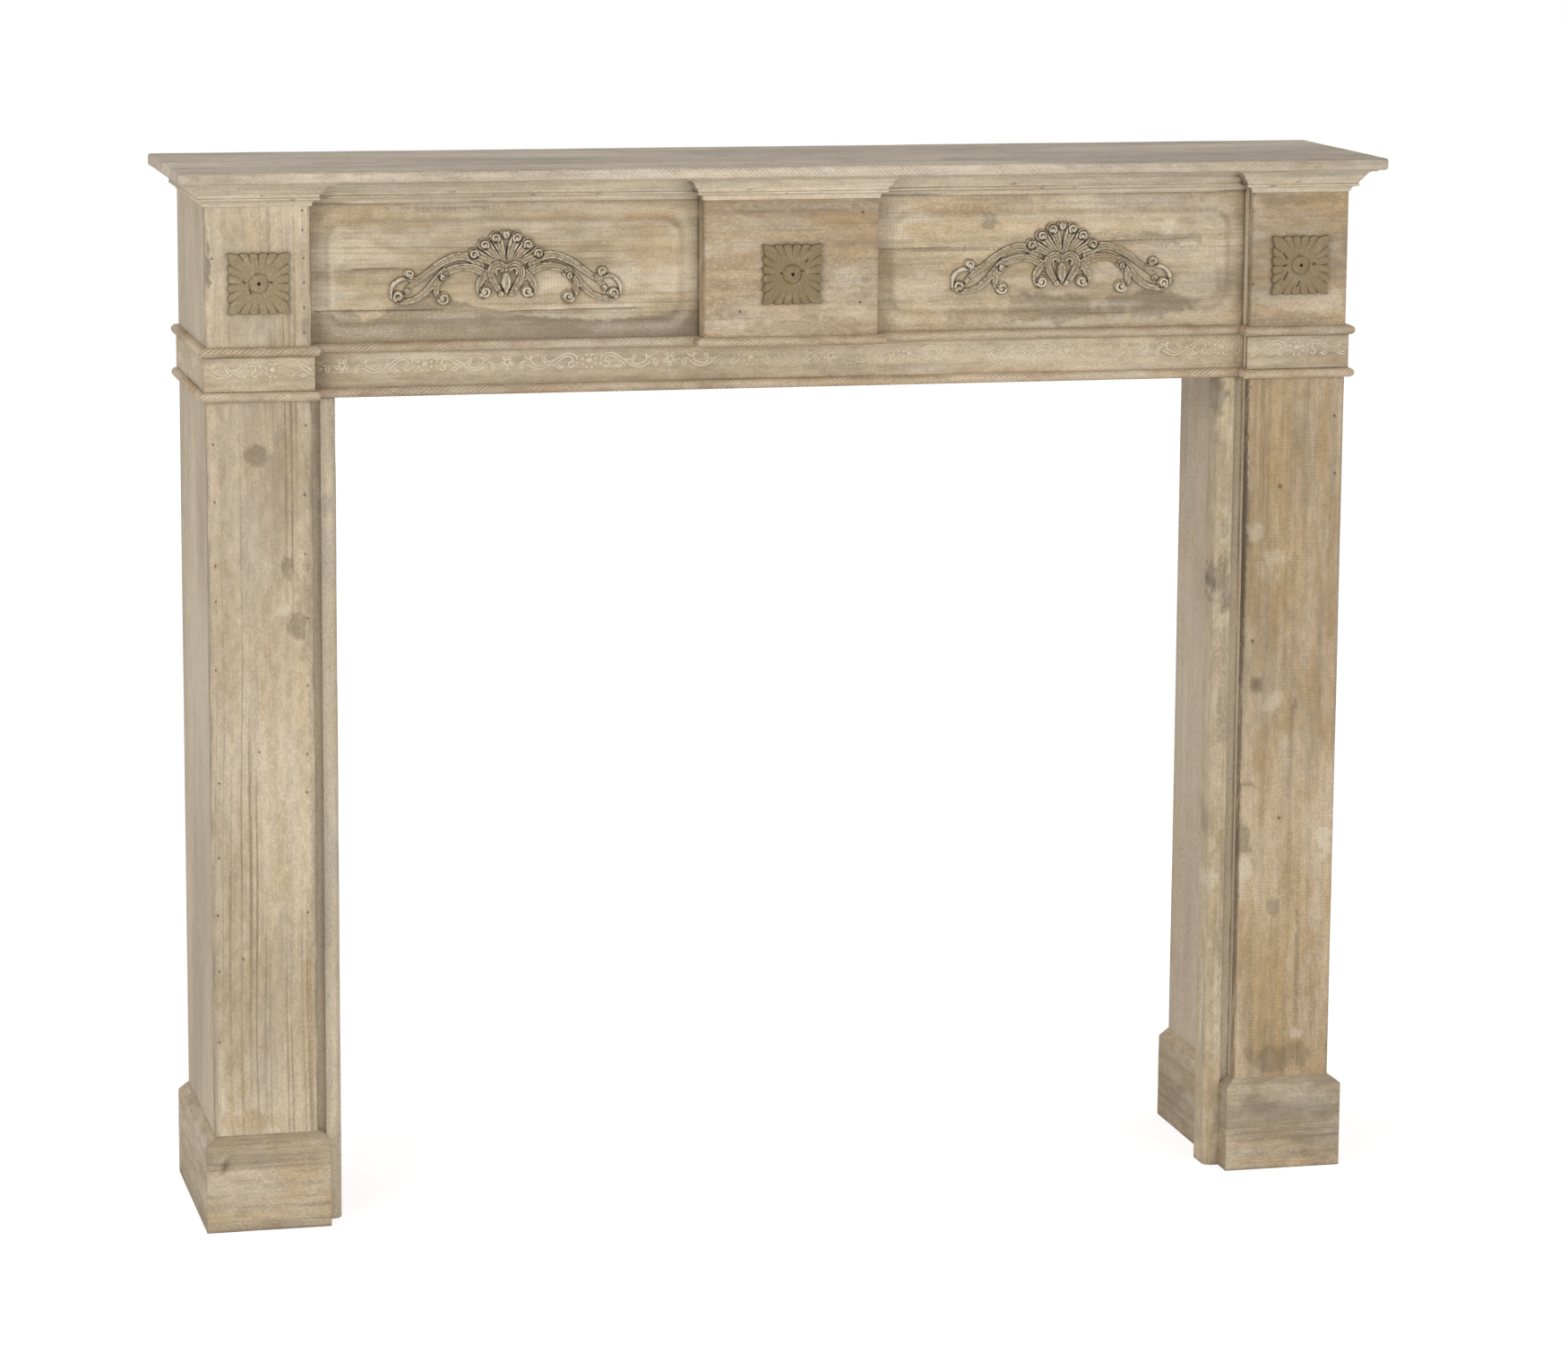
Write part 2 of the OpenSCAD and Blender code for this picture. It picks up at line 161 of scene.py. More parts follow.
def used_only(v, tone, faces):
    """Drops the points that no face uses."""
    used = np.unique(np.concatenate([f.ravel() for f in faces]))
    remap = np.full(len(v), -1)
    remap[used] = np.arange(len(used))
    return v[used], tone[used], [remap[f] for f in faces]


def mirrored(v, f):
    """Left for right, with the faces turned so that they still face out."""
    v = v.copy()
    v[:, 0] *= -1
    return v, [np.asarray(part)[:, ::-1] for part in f]


# Grid lines on both sides of a nail hole's middle
MARK_LINES = (-1.3, -0.6, 0, 0.6, 1.3)


def axis_lines(lo, hi, r, step, marks=()):
    """Grid lines from lo to hi: fine near both ends and round each mark."""
    n = max(1, round((hi - lo - 2 * r) / step))
    near = np.array([0, 0.3, 0.65]) * r
    extra = [m + o for m in marks for o in MARK_LINES if lo + 2 * r < m + o < hi - 2 * r]
    pts = np.sort(np.concatenate([lo + near, np.linspace(lo + r, hi - r, n + 1), hi - near, extra]))
    keep = [lo]
    for p in pts[1:]:
        if p - keep[-1] > (0.45 if lo + r < p < hi - r else 0.2) and hi - p > 0.2:
            keep.append(p)
    return np.array(keep + [hi])


def box_grid(xs, ys, zs):
    """The surface of a box as quads on the three sets of grid lines."""
    nx, ny, nz = len(xs), len(ys), len(zs)
    counts, strides = (nx, ny, nz), (ny * nz, nz, 1)
    quads = []
    for axis, (u, w) in enumerate(((1, 2), (2, 0), (0, 1))):
        a, b = sorted((u, w))
        i, j = np.meshgrid(np.arange(counts[a] - 1), np.arange(counts[b] - 1), indexing="ij")
        corner = i * strides[a] + j * strides[b]
        q = np.stack([corner, corner + strides[u], corner + strides[u] + strides[w], corner + strides[w]], -1)
        for end in (0, counts[axis] - 1):
            side = q.reshape(-1, 4) + end * strides[axis]
            quads.append(side if end else side[:, ::-1])
    quads = np.concatenate(quads)
    used, inverse = np.unique(quads, return_inverse=True)
    verts = np.stack([xs[used // (ny * nz)], ys[used // nz % ny], zs[used % nz]], -1)
    return verts, inverse.reshape(-1, 4)


def spot_mask(p, centre, radii, seed, rough=0.75):
    """A soft, ragged blot round centre. A radius of 0 leaves that axis out."""
    d = 0
    for axis in range(3):
        if radii[axis]:
            d = d + ((p[:, axis] - centre[axis]) / radii[axis]) ** 2
    size = min(r for r in radii if r)
    d = np.sqrt(d) + rough * (fbm(p, size * 0.75, seed) - 0.5) * 2
    return 1 - step01(d, 0.70, 1.0)


def add_spots(tone, p, spots, seed, rough=0.75, where=1.0):
    """Blots on tone: spots are (x, z, rx, rz, channel, strength)."""
    for n, (x, z, rx, rz, channel, strength) in enumerate(spots):
        deepen(tone, channel, spot_mask(p, (x, 0, z), (rx, 0, rz), seed + n, rough) * where * strength)


def board(node, slot, grain, r=1.4, step=6.0, marks=(), spots=(), shape=None, wave=0.3, chips=1.0, front=6,
          edge=0.35, rims=(0, 0)):
    """A worn board in place of a CAD box. grain is its long axis, 0 to 2. marks are nail holes
    (x, z, radius) on its front; spots lie on its front and as far behind it as front says. rims is the
    strength of the dark lines along its left and right edges: grime in the joints and painted shade of the
    corners beside them."""
    lo, hi = box(node)
    seed = len(pieces) * 7 + 3
    steps = [step * (1.6 if axis == grain else 1) for axis in range(3)]
    holes = {0: [m[0] for m in marks], 2: [m[1] for m in marks]}
    lines = [axis_lines(lo[a], hi[a], r, steps[a], holes.get(a, ())) for a in range(3)]
    if shape is not None:
        lines = shape["lines"](lines)
    p, quads = box_grid(*lines)
    local = r * (0.45 + 1.1 * fbm(p, 45, seed)) + chips * 9 * np.clip(fbm(p, 11, seed + 5) - 0.7, 0, 1)
    local = np.minimum(local, (hi - lo).min() * 0.45)[:, None]
    q = np.clip(p, lo + local, hi - local)
    d = p - q
    length = np.linalg.norm(d, axis=1, keepdims=True)
    normal = d / np.maximum(length, 1e-9)
    out = q + normal * np.minimum(local, length)
    tone = np.zeros((len(p), 4))
    on_edge = step01((length / local)[:, 0], 1.02, 1.25)
    tone[:, DIRT_AND_SHADE] = edge * on_edge * step01(fbm(p, 30, seed + 9), 0.4, 0.75)
    tone[:, LIME_AND_LIGHT] = min(0.5, edge * 1.4) * on_edge * step01(fbm(p, 18, seed + 11), 0.5, 0.8)
    sink = wave * fbm(p, (70, 70, 70), seed + 2)
    at_front = p[:, 1] < lo[1] + 0.01
    for x, z, radius in marks:
        away = np.hypot(p[:, 0] - x, p[:, 2] - z)
        sink = sink + at_front * 1.4 * (1 - step01(away, radius * 0.3, radius))
        deepen(tone, DIRT_AND_SHADE, at_front * 0.9 * (1 - step01(away, radius * 0.3, radius * 1.4)))
    add_spots(tone, p, spots, seed + 31, where=p[:, 1] < lo[1] + front)
    # Dark streaks along the left and right edges: grime in the joints and painted shade of the corners
    # between this board and the parts beside it
    for x, strength in zip((lo[0], hi[0]), rims):
        beside = 1 - step01(np.abs(p[:, 0] - x), 0.4, 3.0)
        deepen(tone, DIRT_AND_SHADE, strength * beside * step01(fbm(p, (9, 9, 34), seed + 60), 0.2, 0.6))
    out = out - normal * sink[:, None]
    tone[:, GREY] *= (p[:, 1] < hi[1] - 0.1) | (front > 100)
    if shape is not None:
        out = shape["move"](p, out, lo, tone)
    axes = [grain] + sorted((a for a in range(3) if a != grain), key=lambda a: lo[a] - hi[a])
    make("worn_" + node, out, [quads], slot, [node], p[:, axes], tone)


# ---- Materials ----
class Tree:
    """A material's nodes. A value passed to its calls is a number, a colour or another node's socket."""

    def __init__(self, name):
        self.mat = bpy.data.materials.new(name)
        self.mat.use_nodes = True
        self.tree = self.mat.node_tree
        self.tree.nodes.clear()
        self.out = self.node("ShaderNodeOutputMaterial")
        self.bsdf = self.node("ShaderNodeBsdfPrincipled")
        self.tree.links.new(self.bsdf.outputs[0], self.out.inputs[0])

    def node(self, kind, **props):
        n = self.tree.nodes.new(kind)
        for k, v in props.items():
            setattr(n, k, v)
        return n

    def put(self, socket, value):
        if isinstance(value, bpy.types.NodeSocket):
            self.tree.links.new(value, socket)
        elif isinstance(value, (tuple, list)) and len(value) == 3 and len(socket.default_value) == 4:
            socket.default_value = (*value, 1)
        else:
            socket.default_value = value

    def math(self, op, a, b=0.5, c=0.5, clamp=False):
        n = self.node("ShaderNodeMath", operation=op, use_clamp=clamp)
        for s, v in zip(n.inputs, (a, b, c)):
            self.put(s, v)
        return n.outputs[0]

    def times(self, a, b):
        return self.math("MULTIPLY", a, b)

    def range(self, value, lo, hi, to_lo=0.0, to_hi=1.0):
        n = self.node("ShaderNodeMapRange", interpolation_type="SMOOTHSTEP")
        for s, v in zip(n.inputs, (value, lo, hi, to_lo, to_hi)):
            self.put(s, v)
        return n.outputs[0]

    def mix(self, fac, a, b, blend="MIX"):
        n = self.node("ShaderNodeMix", data_type="RGBA", blend_type=blend)
        self.put(n.inputs[0], fac)
        self.put(n.inputs[6], a)
        self.put(n.inputs[7], b)
        return n.outputs[2]

    def noise(self, vector, scale, detail=3.0, rough=0.5, shift=(0, 0, 0), distortion=0.0):
        scaled = self.node("ShaderNodeVectorMath", operation="MULTIPLY_ADD")
        for s, v in zip(scaled.inputs, (vector, scale, shift)):
            self.put(s, v)
        n = self.node("ShaderNodeTexNoise", noise_dimensions="3D")
        self.put(n.inputs["Vector"], scaled.outputs[0])
        for key, v in (("Scale", 1.0), ("Detail", detail), ("Roughness", rough), ("Distortion", distortion)):
            self.put(n.inputs[key], v)
        return n.outputs[0]

    def attributes(self):
        """What make() stores at each point: wood, then tone's grime with painted shade, lime with painted
        light, grey and brown.
        """
        wood = self.node("ShaderNodeAttribute", attribute_name="wood").outputs["Vector"]
        tone = self.node("ShaderNodeAttribute", attribute_name="tone")
        parts = self.node("ShaderNodeSeparateColor")
        self.put(parts.inputs[0], tone.outputs["Color"])
        return (wood, *parts.outputs, tone.outputs["Alpha"])

    def brightened(self, colour, value):
        scale = self.node("ShaderNodeCombineColor")
        for s in scale.inputs:
            self.put(s, value)
        return self.mix(1.0, colour, scale.outputs[0], "MULTIPLY")

    def hollow(self, reach):
        """1 in a tight hollow, measured over reach in metres, and 0 in the open."""
        ao = self.node("ShaderNodeAmbientOcclusion", samples=6)
        ao.inputs["Distance"].default_value = reach
        return self.range(self.math("SUBTRACT", 1.0, ao.outputs["AO"]), 0.2, 0.85)

    def surface(self, colour, rough, specular, height, strength, distance):
        bump = self.node("ShaderNodeBump")
        for socket, v in ((self.bsdf.inputs["Base Color"], colour), (self.bsdf.inputs["Roughness"], rough),
                          (self.bsdf.inputs["Specular IOR Level"], specular), (bump.inputs["Height"], height),
                          (bump.inputs["Strength"], strength), (bump.inputs["Distance"], distance),
                          (self.bsdf.inputs["Normal"], bump.outputs[0])):
            self.put(socket, v)
        return self.mat


# Colours that all the pines share
STAIN_GREY, STAIN_BROWN = (0.30, 0.25, 0.165), (0.385, 0.255, 0.112)
# The lime colours also serve as painted light, lifting shaded parts and marking highlights; the dark colour
# below also serves as painted shade in hollows, corners and joints
PALE_LIME_AND_LIGHT, GREY_LIME_AND_LIGHT = (0.70, 0.62, 0.49), (0.62, 0.555, 0.47)
DIRT_AND_SHADE_COLOUR = (0.10, 0.075, 0.052)
# Saw marks across the grain, and slanting ones on the shelf, in metres
RIB_PITCH, SLANT_PITCH = 0.0027, 0.0056


def pine(slot, pale, honey, dark, honey_share=0.5, grey_share=0.3, ribs=0.0, rings=0.4, lime=0.4, shade_and_dirt=0.5,
         grain=1.0, lime_depth=0.55, slant=False):
    """Weathered, limed pine. pale, honey and dark are its three wood colours. wood's x runs along the
    grain, so noise is stretched along x."""
    t = Tree(slot)
    w, dirt_and_shade_tone, lime_and_light_tone, tone_grey, tone_brown = t.attributes()

    blotch = t.noise(w, (5, 16, 16), 3, 0.55)
    cloud = t.noise(w, (2.2, 9, 9), 2, 0.5, (4, 7, 2))
    streak = t.noise(w, (3.5, 120, 120), 5, 0.62, (1, 3, 5))
    fibre = t.noise(w, (30, 1500, 1100), 2, 0.6, (8, 1, 4))
    speckle = t.noise(w, (260, 520, 520), 3, 0.65, (5, 5, 9))

    # Dark lines of late wood along the grain, at uneven spacing
    bend = t.noise(w, (1.3, 6, 6), 2, 0.45, (9, 2, 6))
    sep = t.node("ShaderNodeSeparateXYZ")
    t.put(sep.inputs[0], w)
    bent = t.node("ShaderNodeCombineXYZ")
    t.put(bent.inputs[0], sep.outputs[0])
    t.put(bent.inputs[1], t.math("MULTIPLY_ADD", bend, 0.035, sep.outputs[1]))
    t.put(bent.inputs[2], sep.outputs[2])
    bent = bent.outputs[0]
    ring = t.range(t.noise(bent, (1.1, 300, 300), 2, 0.5, (2, 2, 2)), 0.55, 0.65)
    ring_mask = t.range(t.noise(w, (1.6, 17, 17), 2, 0.5, (3, 8, 1)), 0.42, 0.60)
    ring = t.times(ring, ring_mask)

    patch = t.noise(w, (9, 30, 30), 4, 0.55, (12, 5, 3), 0.6)
    haze = t.noise(w, (14, 34, 34), 4, 0.6, (1, 15, 7), 0.8)
    colour = t.mix(t.times(t.range(blotch, 0.42, 0.58), 0.95 * honey_share), pale, honey)
    colour = t.mix(t.times(t.range(patch, 0.50, 0.64), 0.9 * honey_share), colour, honey)
    bleached = tuple(min(1, 1.10 * c + 0.03) for c in pale)
    colour = t.mix(t.times(t.range(haze, 0.54, 0.70), 0.5), colour, bleached)
    colour = t.mix(t.times(t.range(streak, 0.5, 0.68), 0.5 * honey_share + 0.1), colour, honey)
    colour = t.mix(t.times(ring, rings), colour, dark)
    value = t.range(streak, 0.34, 0.66, 1.0 - 0.13 * grain, 1.0 + 0.11 * grain)
    value = t.times(value, t.range(fibre, 0.3, 0.7, 1.0 - 0.08 * grain, 1.0 + 0.07 * grain))
    value = t.times(value, t.range(speckle, 0.3, 0.7, 0.89, 1.09))
    mottle = t.noise(w, (50, 120, 120), 3, 0.6, (6, 2, 2))
    value = t.times(value, t.range(mottle, 0.36, 0.64, 0.92, 1.06))
    value = t.times(value, t.range(cloud, 0.36, 0.64, 0.87, 1.10))
    if ribs:
        wobble = t.math("MULTIPLY_ADD", t.noise(w, (40, 30, 30), 1, 0.5), 0.0012, sep.outputs[0])
        rib = t.math("SINE", t.times(wobble, 2 * math.pi / RIB_PITCH))
        rib_mask = t.range(t.noise(w, (6, 22, 22), 2, 0.6, (2, 6, 8)), 0.36, 0.56)
        rib = t.times(rib, t.times(rib_mask, ribs))
        value = t.times(value, t.math("MULTIPLY_ADD", rib, 0.10, 1.0))
    grey_blot = t.range(t.noise(w, (8, 22, 22), 4, 0.6, (6, 4, 3), 0.4), 0.5, 0.72)
    grey = t.math("MAXIMUM", t.times(grey_blot, grey_share), tone_grey, clamp=True)
    grey_colour = tuple(0.65 * c + 0.35 * g for c, g in zip(dark, STAIN_GREY))
    colour = t.mix(t.times(grey, 0.82), colour, grey_colour)
    brown_edge = t.times(tone_brown, t.range(streak, 0.3, 0.65, 0.45, 1.0))
    colour = t.mix(t.times(brown_edge, 0.75), colour, STAIN_BROWN)
    colour = t.brightened(colour, value)

    # Lime left in the grain, with painted light from tone, dark flecks, and grime in hollows and joints with
    # painted shade from ambient occlusion
    if slant:
        slope = t.math("MULTIPLY_ADD", sep.outputs[2], 1.1, sep.outputs[0])
        saw = t.math("SINE", t.times(slope, 2 * math.pi / SLANT_PITCH))
        lime_and_light_tone = t.times(lime_and_light_tone, t.range(saw, -0.4, 0.8))
    lime_and_light_mask = t.math("MULTIPLY_ADD", t.range(speckle, 0.5, 0.7), t.times(t.range(cloud, 0.42, 0.62), lime),
                       t.times(lime_and_light_tone, t.range(speckle, 0.3, 0.6, 0.5, 1.0)), clamp=True)
    lime_and_light_colour = t.mix(tone_grey, PALE_LIME_AND_LIGHT, GREY_LIME_AND_LIGHT)
    colour = t.mix(t.times(lime_and_light_mask, lime_depth), colour, lime_and_light_colour)
    flecks = t.range(t.noise(w, (90, 900, 900), 2, 0.5, (7, 9, 1)), 0.68, 0.78)
    colour = t.mix(t.times(flecks, 0.3), colour, tuple(0.35 * c for c in dark))
    # Ambient occlusion darkens the colour in hollows and joints: painted shade, added to the grime and
    # painted shade that tone carries
    hollow = t.times(t.hollow(0.007), t.range(t.noise(w, (35, 60, 60), 3, 0.6), 0.3, 0.6, 0.45, 1.0))
    dirt_and_shade_mask = t.math("MULTIPLY_ADD", hollow, shade_and_dirt, dirt_and_shade_tone, clamp=True)
    colour = t.mix(t.times(dirt_and_shade_mask, 0.85), colour, DIRT_AND_SHADE_COLOUR)

    rough = t.math("MULTIPLY_ADD", dirt_and_shade_mask, 0.12, t.range(streak, 0.3, 0.7, 0.62, 0.78), clamp=True)
    height = t.math("MULTIPLY_ADD", fibre, 0.25, t.times(streak, 0.4))
    height = t.math("MULTIPLY_ADD", ring, -0.35 * grain, height)
    height = t.math("MULTIPLY_ADD", speckle, 0.25, height)
    if ribs:
        height = t.math("MULTIPLY_ADD", rib, 0.22, height)
    return t.surface(colour, rough, 0.32, height, strength=0.5, distance=0.0005)


def carving(slot, base, bare, light, dark):
    """Carved wood with a dull olive-grey finish, darker in its cuts from grime and painted shade, and paler
    on its ridges from wear, with a painted highlight on the shell onlays' ridges.
    tone's grey takes it from base, its old finish, to bare, its limed state."""
    t = Tree(slot)
    w, dirt_and_shade_tone, lime_and_light_tone, tone_grey, tone_brown = t.attributes()
    cloud = t.noise(w, (18, 40, 40), 3, 0.6)
    speckle = t.noise(w, (420, 420, 420), 4, 0.65, (3, 1, 7))
    fibre = t.noise(w, (160, 900, 900), 2, 0.6, (8, 1, 4))
    # Pale wear, which through tone's lime channel is also a painted highlight on the shell onlays' ridges
    worn = t.math("MULTIPLY_ADD", t.range(speckle, 0.48, 0.68), t.math("MULTIPLY_ADD", tone_grey, 0.42, 0.12),
                  lime_and_light_tone, clamp=True)
    worn = t.times(worn, t.range(cloud, 0.3, 0.6, 0.45, 1.0))
    ground = t.mix(tone_grey, base, bare)
    colour = t.mix(t.times(worn, 0.85), ground, light)
    brown = t.times(tone_brown, t.range(cloud, 0.3, 0.6, 0.6, 1.0))
    colour = t.mix(t.times(brown, 0.6), colour, (0.36, 0.22, 0.105))
    colour = t.brightened(colour, t.range(fibre, 0.25, 0.75, 0.86, 1.12))
    # Ambient occlusion darkens the cuts, as painted shade, on top of the grime and painted shade that tone
    # carries
    depth = t.math("MULTIPLY_ADD", tone_grey, 0.4, 0.2)
    cut = t.math("MULTIPLY_ADD", t.hollow(0.004), depth, dirt_and_shade_tone, clamp=True)
    colour = t.mix(t.times(cut, 0.85), colour, dark)
    height = t.math("MULTIPLY_ADD", fibre, 0.6, speckle)
    rough = t.range(speckle, 0.3, 0.7, 0.5, 0.68)
    return t.surface(colour, rough, 0.4, height, strength=0.4, distance=0.0004)


# Each pine's pale, honey and dark colours, and its shares
PINES = {
    "shelf_pine": ((0.545, 0.462, 0.362), (0.45, 0.37, 0.285), (0.25, 0.20, 0.15),
                   dict(grey_share=0.45, rings=0.35, slant=True)),
    # moulding_pine's colours are set paler than the crown's wood, as painted light that lifts the crown in
    # the shade under the shelf
    "moulding_pine": ((0.62, 0.53, 0.40), (0.52, 0.41, 0.27), (0.28, 0.20, 0.13),
                      dict(honey_share=0.45, grey_share=0.15, rings=0.45, shade_and_dirt=0.3)),
    "rope_pine": ((0.53, 0.42, 0.295), (0.41, 0.29, 0.175), (0.24, 0.17, 0.10),
                  dict(honey_share=0.8, grey_share=0.15, rings=0.0, lime=0.3, lime_depth=0.8)),
    "band_pine": ((0.52, 0.425, 0.30), (0.43, 0.33, 0.21), (0.26, 0.19, 0.12),
                  dict(honey_share=0.55, grey_share=0.35, rings=0.2, lime=0.3, lime_depth=0.9)),
    "left_leg_pine": ((0.55, 0.452, 0.326), (0.46, 0.352, 0.228), (0.23, 0.165, 0.10),
                      dict(honey_share=0.45, grey_share=0.18, ribs=0.3, rings=0.65, lime=0.45, grain=0.65)),
    "right_leg_pine": ((0.49, 0.38, 0.258), (0.395, 0.27, 0.137), (0.20, 0.14, 0.085),
                       dict(honey_share=0.7, grey_share=0.4, ribs=1.5, rings=0.5, lime=0.5)),
    "block_pine": ((0.465, 0.372, 0.265), (0.375, 0.265, 0.155), (0.22, 0.15, 0.09),
                   dict(honey_share=0.7, grey_share=0.4, ribs=0.6, lime=0.45)),
    "panel_pine": ((0.58, 0.48, 0.35), (0.45, 0.338, 0.205), (0.24, 0.185, 0.12),
                   dict(honey_share=0.75, grey_share=0.35, ribs=1.2, lime=0.45, shade_and_dirt=0.3)),
    "jamb_pine": ((0.56, 0.455, 0.315), (0.46, 0.35, 0.21), (0.24, 0.19, 0.13),
                  dict(honey_share=0.6, grey_share=0.35, rings=0.5, lime=0.6, shade_and_dirt=0.2)),
    "plinth_pine": ((0.48, 0.395, 0.285), (0.37, 0.275, 0.17), (0.22, 0.165, 0.11),
                    dict(honey_share=0.6, grey_share=0.45, ribs=0.15, rings=0.35, lime=0.5)),
}
materials = {slot: pine(slot, *colours, **shares) for slot, (*colours, shares) in PINES.items()}
materials["carving_wood"] = carving("carving_wood", base=(0.225, 0.162, 0.078), bare=(0.35, 0.268, 0.16),
                                    light=(0.72, 0.645, 0.51), dark=(0.055, 0.04, 0.027))

# ---- Shelf ----
board("shelf", "shelf_pine", 0, r=3.2, step=8, wave=0.5, chips=0.5, edge=0.2,
      spots=[(60, 1201, 260, 60, LIME_AND_LIGHT, 0.8), (-330, 1201, 200, 60, LIME_AND_LIGHT, 0.35),
             (400, 1201, 200, 60, LIME_AND_LIGHT, 0.35), (-85, 1201, 60, 60, BROWN, 0.3),
             # The grey band at z 1208 along the top front edge is painted shade, toning down the light that
             # the rounded edge catches
             (560, 1201, 90, 60, BROWN, 0.35), (0, 1208, 0, 3.2, GREY, 0.6),
             (-420, 1200, 60, 6, GREY, 0.4), (250, 1200, 40, 7, BROWN, 0.4),
             (-650, 1200, 50, 6, BROWN, 0.3), (480, 1200, 30, 6, BROWN, 0.4), (0, 1199, 0, 7, BROWN, 0.12)])

# ---- Legs ----
LEFT_MARKS = [(x, z, 1.3) for x, z in (
    (-660, 903), (-659, 838), (-659, 766), (-659, 726), (-660, 648), (-658, 519), (-556, 922), (-558, 844),
    (-558, 777), (-556, 704), (-557, 627), (-558, 549), (-559, 505), (-612, 553), (-659, 433), (-661, 367),
    (-660, 302), (-661, 220), (-559, 366), (-633, 315), (-558, 1162), (-558, 1140), (-557, 1109),
    (-557, 1082), (-557, 1054), (-557, 1026), (-659, 1110))]
LEFT_SPOTS = [
    (-613, 888, 15, 15, GREY, 0.9), (-576, 765, 10, 14, GREY, 0.9), (-568, 695, 11, 19, GREY, 0.9),
    (-569, 884, 24, 34, BROWN, 0.3), (-556, 868, 7, 17, BROWN, 0.65), (-583, 712, 9, 9, LIME_AND_LIGHT, 0.7),
    (-548, 406, 5, 8, DIRT_AND_SHADE, 0.7), (-610, 212, 6, 6, BROWN, 0.6), (-585, 475, 4, 24, BROWN, 0.7),
    (-633, 124, 40, 14, BROWN, 0.6), (-601, 115, 12, 4, LIME_AND_LIGHT, 0.9), (-608, 1132, 22, 30, BROWN, 0.35),
    (-553, 1030, 8, 16, DIRT_AND_SHADE, 0.35), (-553, 620, 4, 330, DIRT_AND_SHADE, 0.25), (-664, 1098, 4, 30, DIRT_AND_SHADE, 0.7),
    (-608, 1120, 56, 30, GREY, 0.2), (-608, 1040, 56, 26, GREY, 0.25), (-640, 1140, 16, 16, BROWN, 0.3),
    (-575, 880, 30, 70, GREY, 0.35), (-560, 720, 10, 60, GREY, 0.5), (-600, 960, 50, 12, LIME_AND_LIGHT, 0.4),
    (-560, 260, 14, 90, BROWN, 0.5), (-645, 700, 14, 120, BROWN, 0.35), (-590, 430, 10, 60, BROWN, 0.5),
    (-640, 260, 20, 120, BROWN, 0.4), (-600, 620, 8, 120, BROWN, 0.35), (-562, 560, 8, 120, BROWN, 0.4),
    (-620, 900, 8, 60, BROWN, 0.3)]
board("left_front_board", "left_leg_pine", 2, step=2.8, marks=LEFT_MARKS, spots=LEFT_SPOTS, rims=(0.5, 0.7))
RIGHT_MARKS = [(551, 940, 1.8), (656, 904, 1.6), (591, 822, 2.0), (561, 639, 2.0), (658, 836, 1.6),
               (599, 425, 2.2)]
RIGHT_SPOTS = [
    (567, 588, 10, 10, GREY, 0.95), (567, 586, 5, 5, DIRT_AND_SHADE, 0.45), (616, 559, 6, 9, DIRT_AND_SHADE, 0.45),
    (587, 565, 18, 12, LIME_AND_LIGHT, 0.5), (561, 769, 16, 12, LIME_AND_LIGHT, 0.6), (590, 738, 18, 10, LIME_AND_LIGHT, 0.55),
    (619, 930, 12, 7, BROWN, 0.6), (655, 809, 14, 24, BROWN, 0.6), (587, 675, 8, 60, BROWN, 0.75),
    (622, 711, 9, 85, BROWN, 0.6), (654, 397, 10, 20, LIME_AND_LIGHT, 1.0), (553, 401, 14, 22, GREY, 0.9),
    (556, 363, 10, 18, LIME_AND_LIGHT, 0.8), (597, 342, 2.5, 2.5, LIME_AND_LIGHT, 1.0), (594, 317, 9, 12, DIRT_AND_SHADE, 0.4),
    (625, 246, 3, 85, DIRT_AND_SHADE, 0.45), (632, 300, 8, 70, BROWN, 0.5), (628, 162, 12, 6, LIME_AND_LIGHT, 0.8),
    (602, 133, 45, 18, DIRT_AND_SHADE, 0.4), (600, 200, 26, 60, BROWN, 0.5), (645, 230, 10, 50, BROWN, 0.7),
    (556, 467, 12, 3, DIRT_AND_SHADE, 0.5), (575, 480, 14, 60, BROWN, 0.55), (640, 560, 10, 80, BROWN, 0.55),
    (551, 780, 5, 60, DIRT_AND_SHADE, 0.35), (548, 770, 3.5, 190, DIRT_AND_SHADE, 1.0), (548, 400, 2, 200, DIRT_AND_SHADE, 0.8),
    (610, 640, 12, 120, BROWN, 0.6), (580, 880, 16, 60, BROWN, 0.45), (645, 880, 14, 60, BROWN, 0.4),
    (600, 440, 12, 70, BROWN, 0.5), (565, 210, 10, 70, BROWN, 0.45)]
board("right_pilaster_board", "right_leg_pine", 2, step=2.8, marks=RIGHT_MARKS, spots=RIGHT_SPOTS, front=20,
      rims=(0.7, 0.4))
board("right_end_block", "block_pine", 0, step=3,
      marks=[(551, 1145, 1.5), (551, 1165, 1.5), (552, 1060, 1.5)],
      spots=[(588, 1117, 2.5, 2.5, LIME_AND_LIGHT, 1.0), (585, 1128, 40, 8, BROWN, 0.7),
             (570, 1100, 22, 12, BROWN, 0.7), (640, 1150, 40, 20, BROWN, 0.35),
             (610, 1040, 60, 14, LIME_AND_LIGHT, 0.4), (610, 1020, 70, 8, GREY, 0.5),
             (590, 1108, 30, 26, BROWN, 0.75), (615, 1158, 60, 7, GREY, 0.6),
             (644, 1090, 14, 40, BROWN, 0.3)],
      rims=(0.45, 0.2))
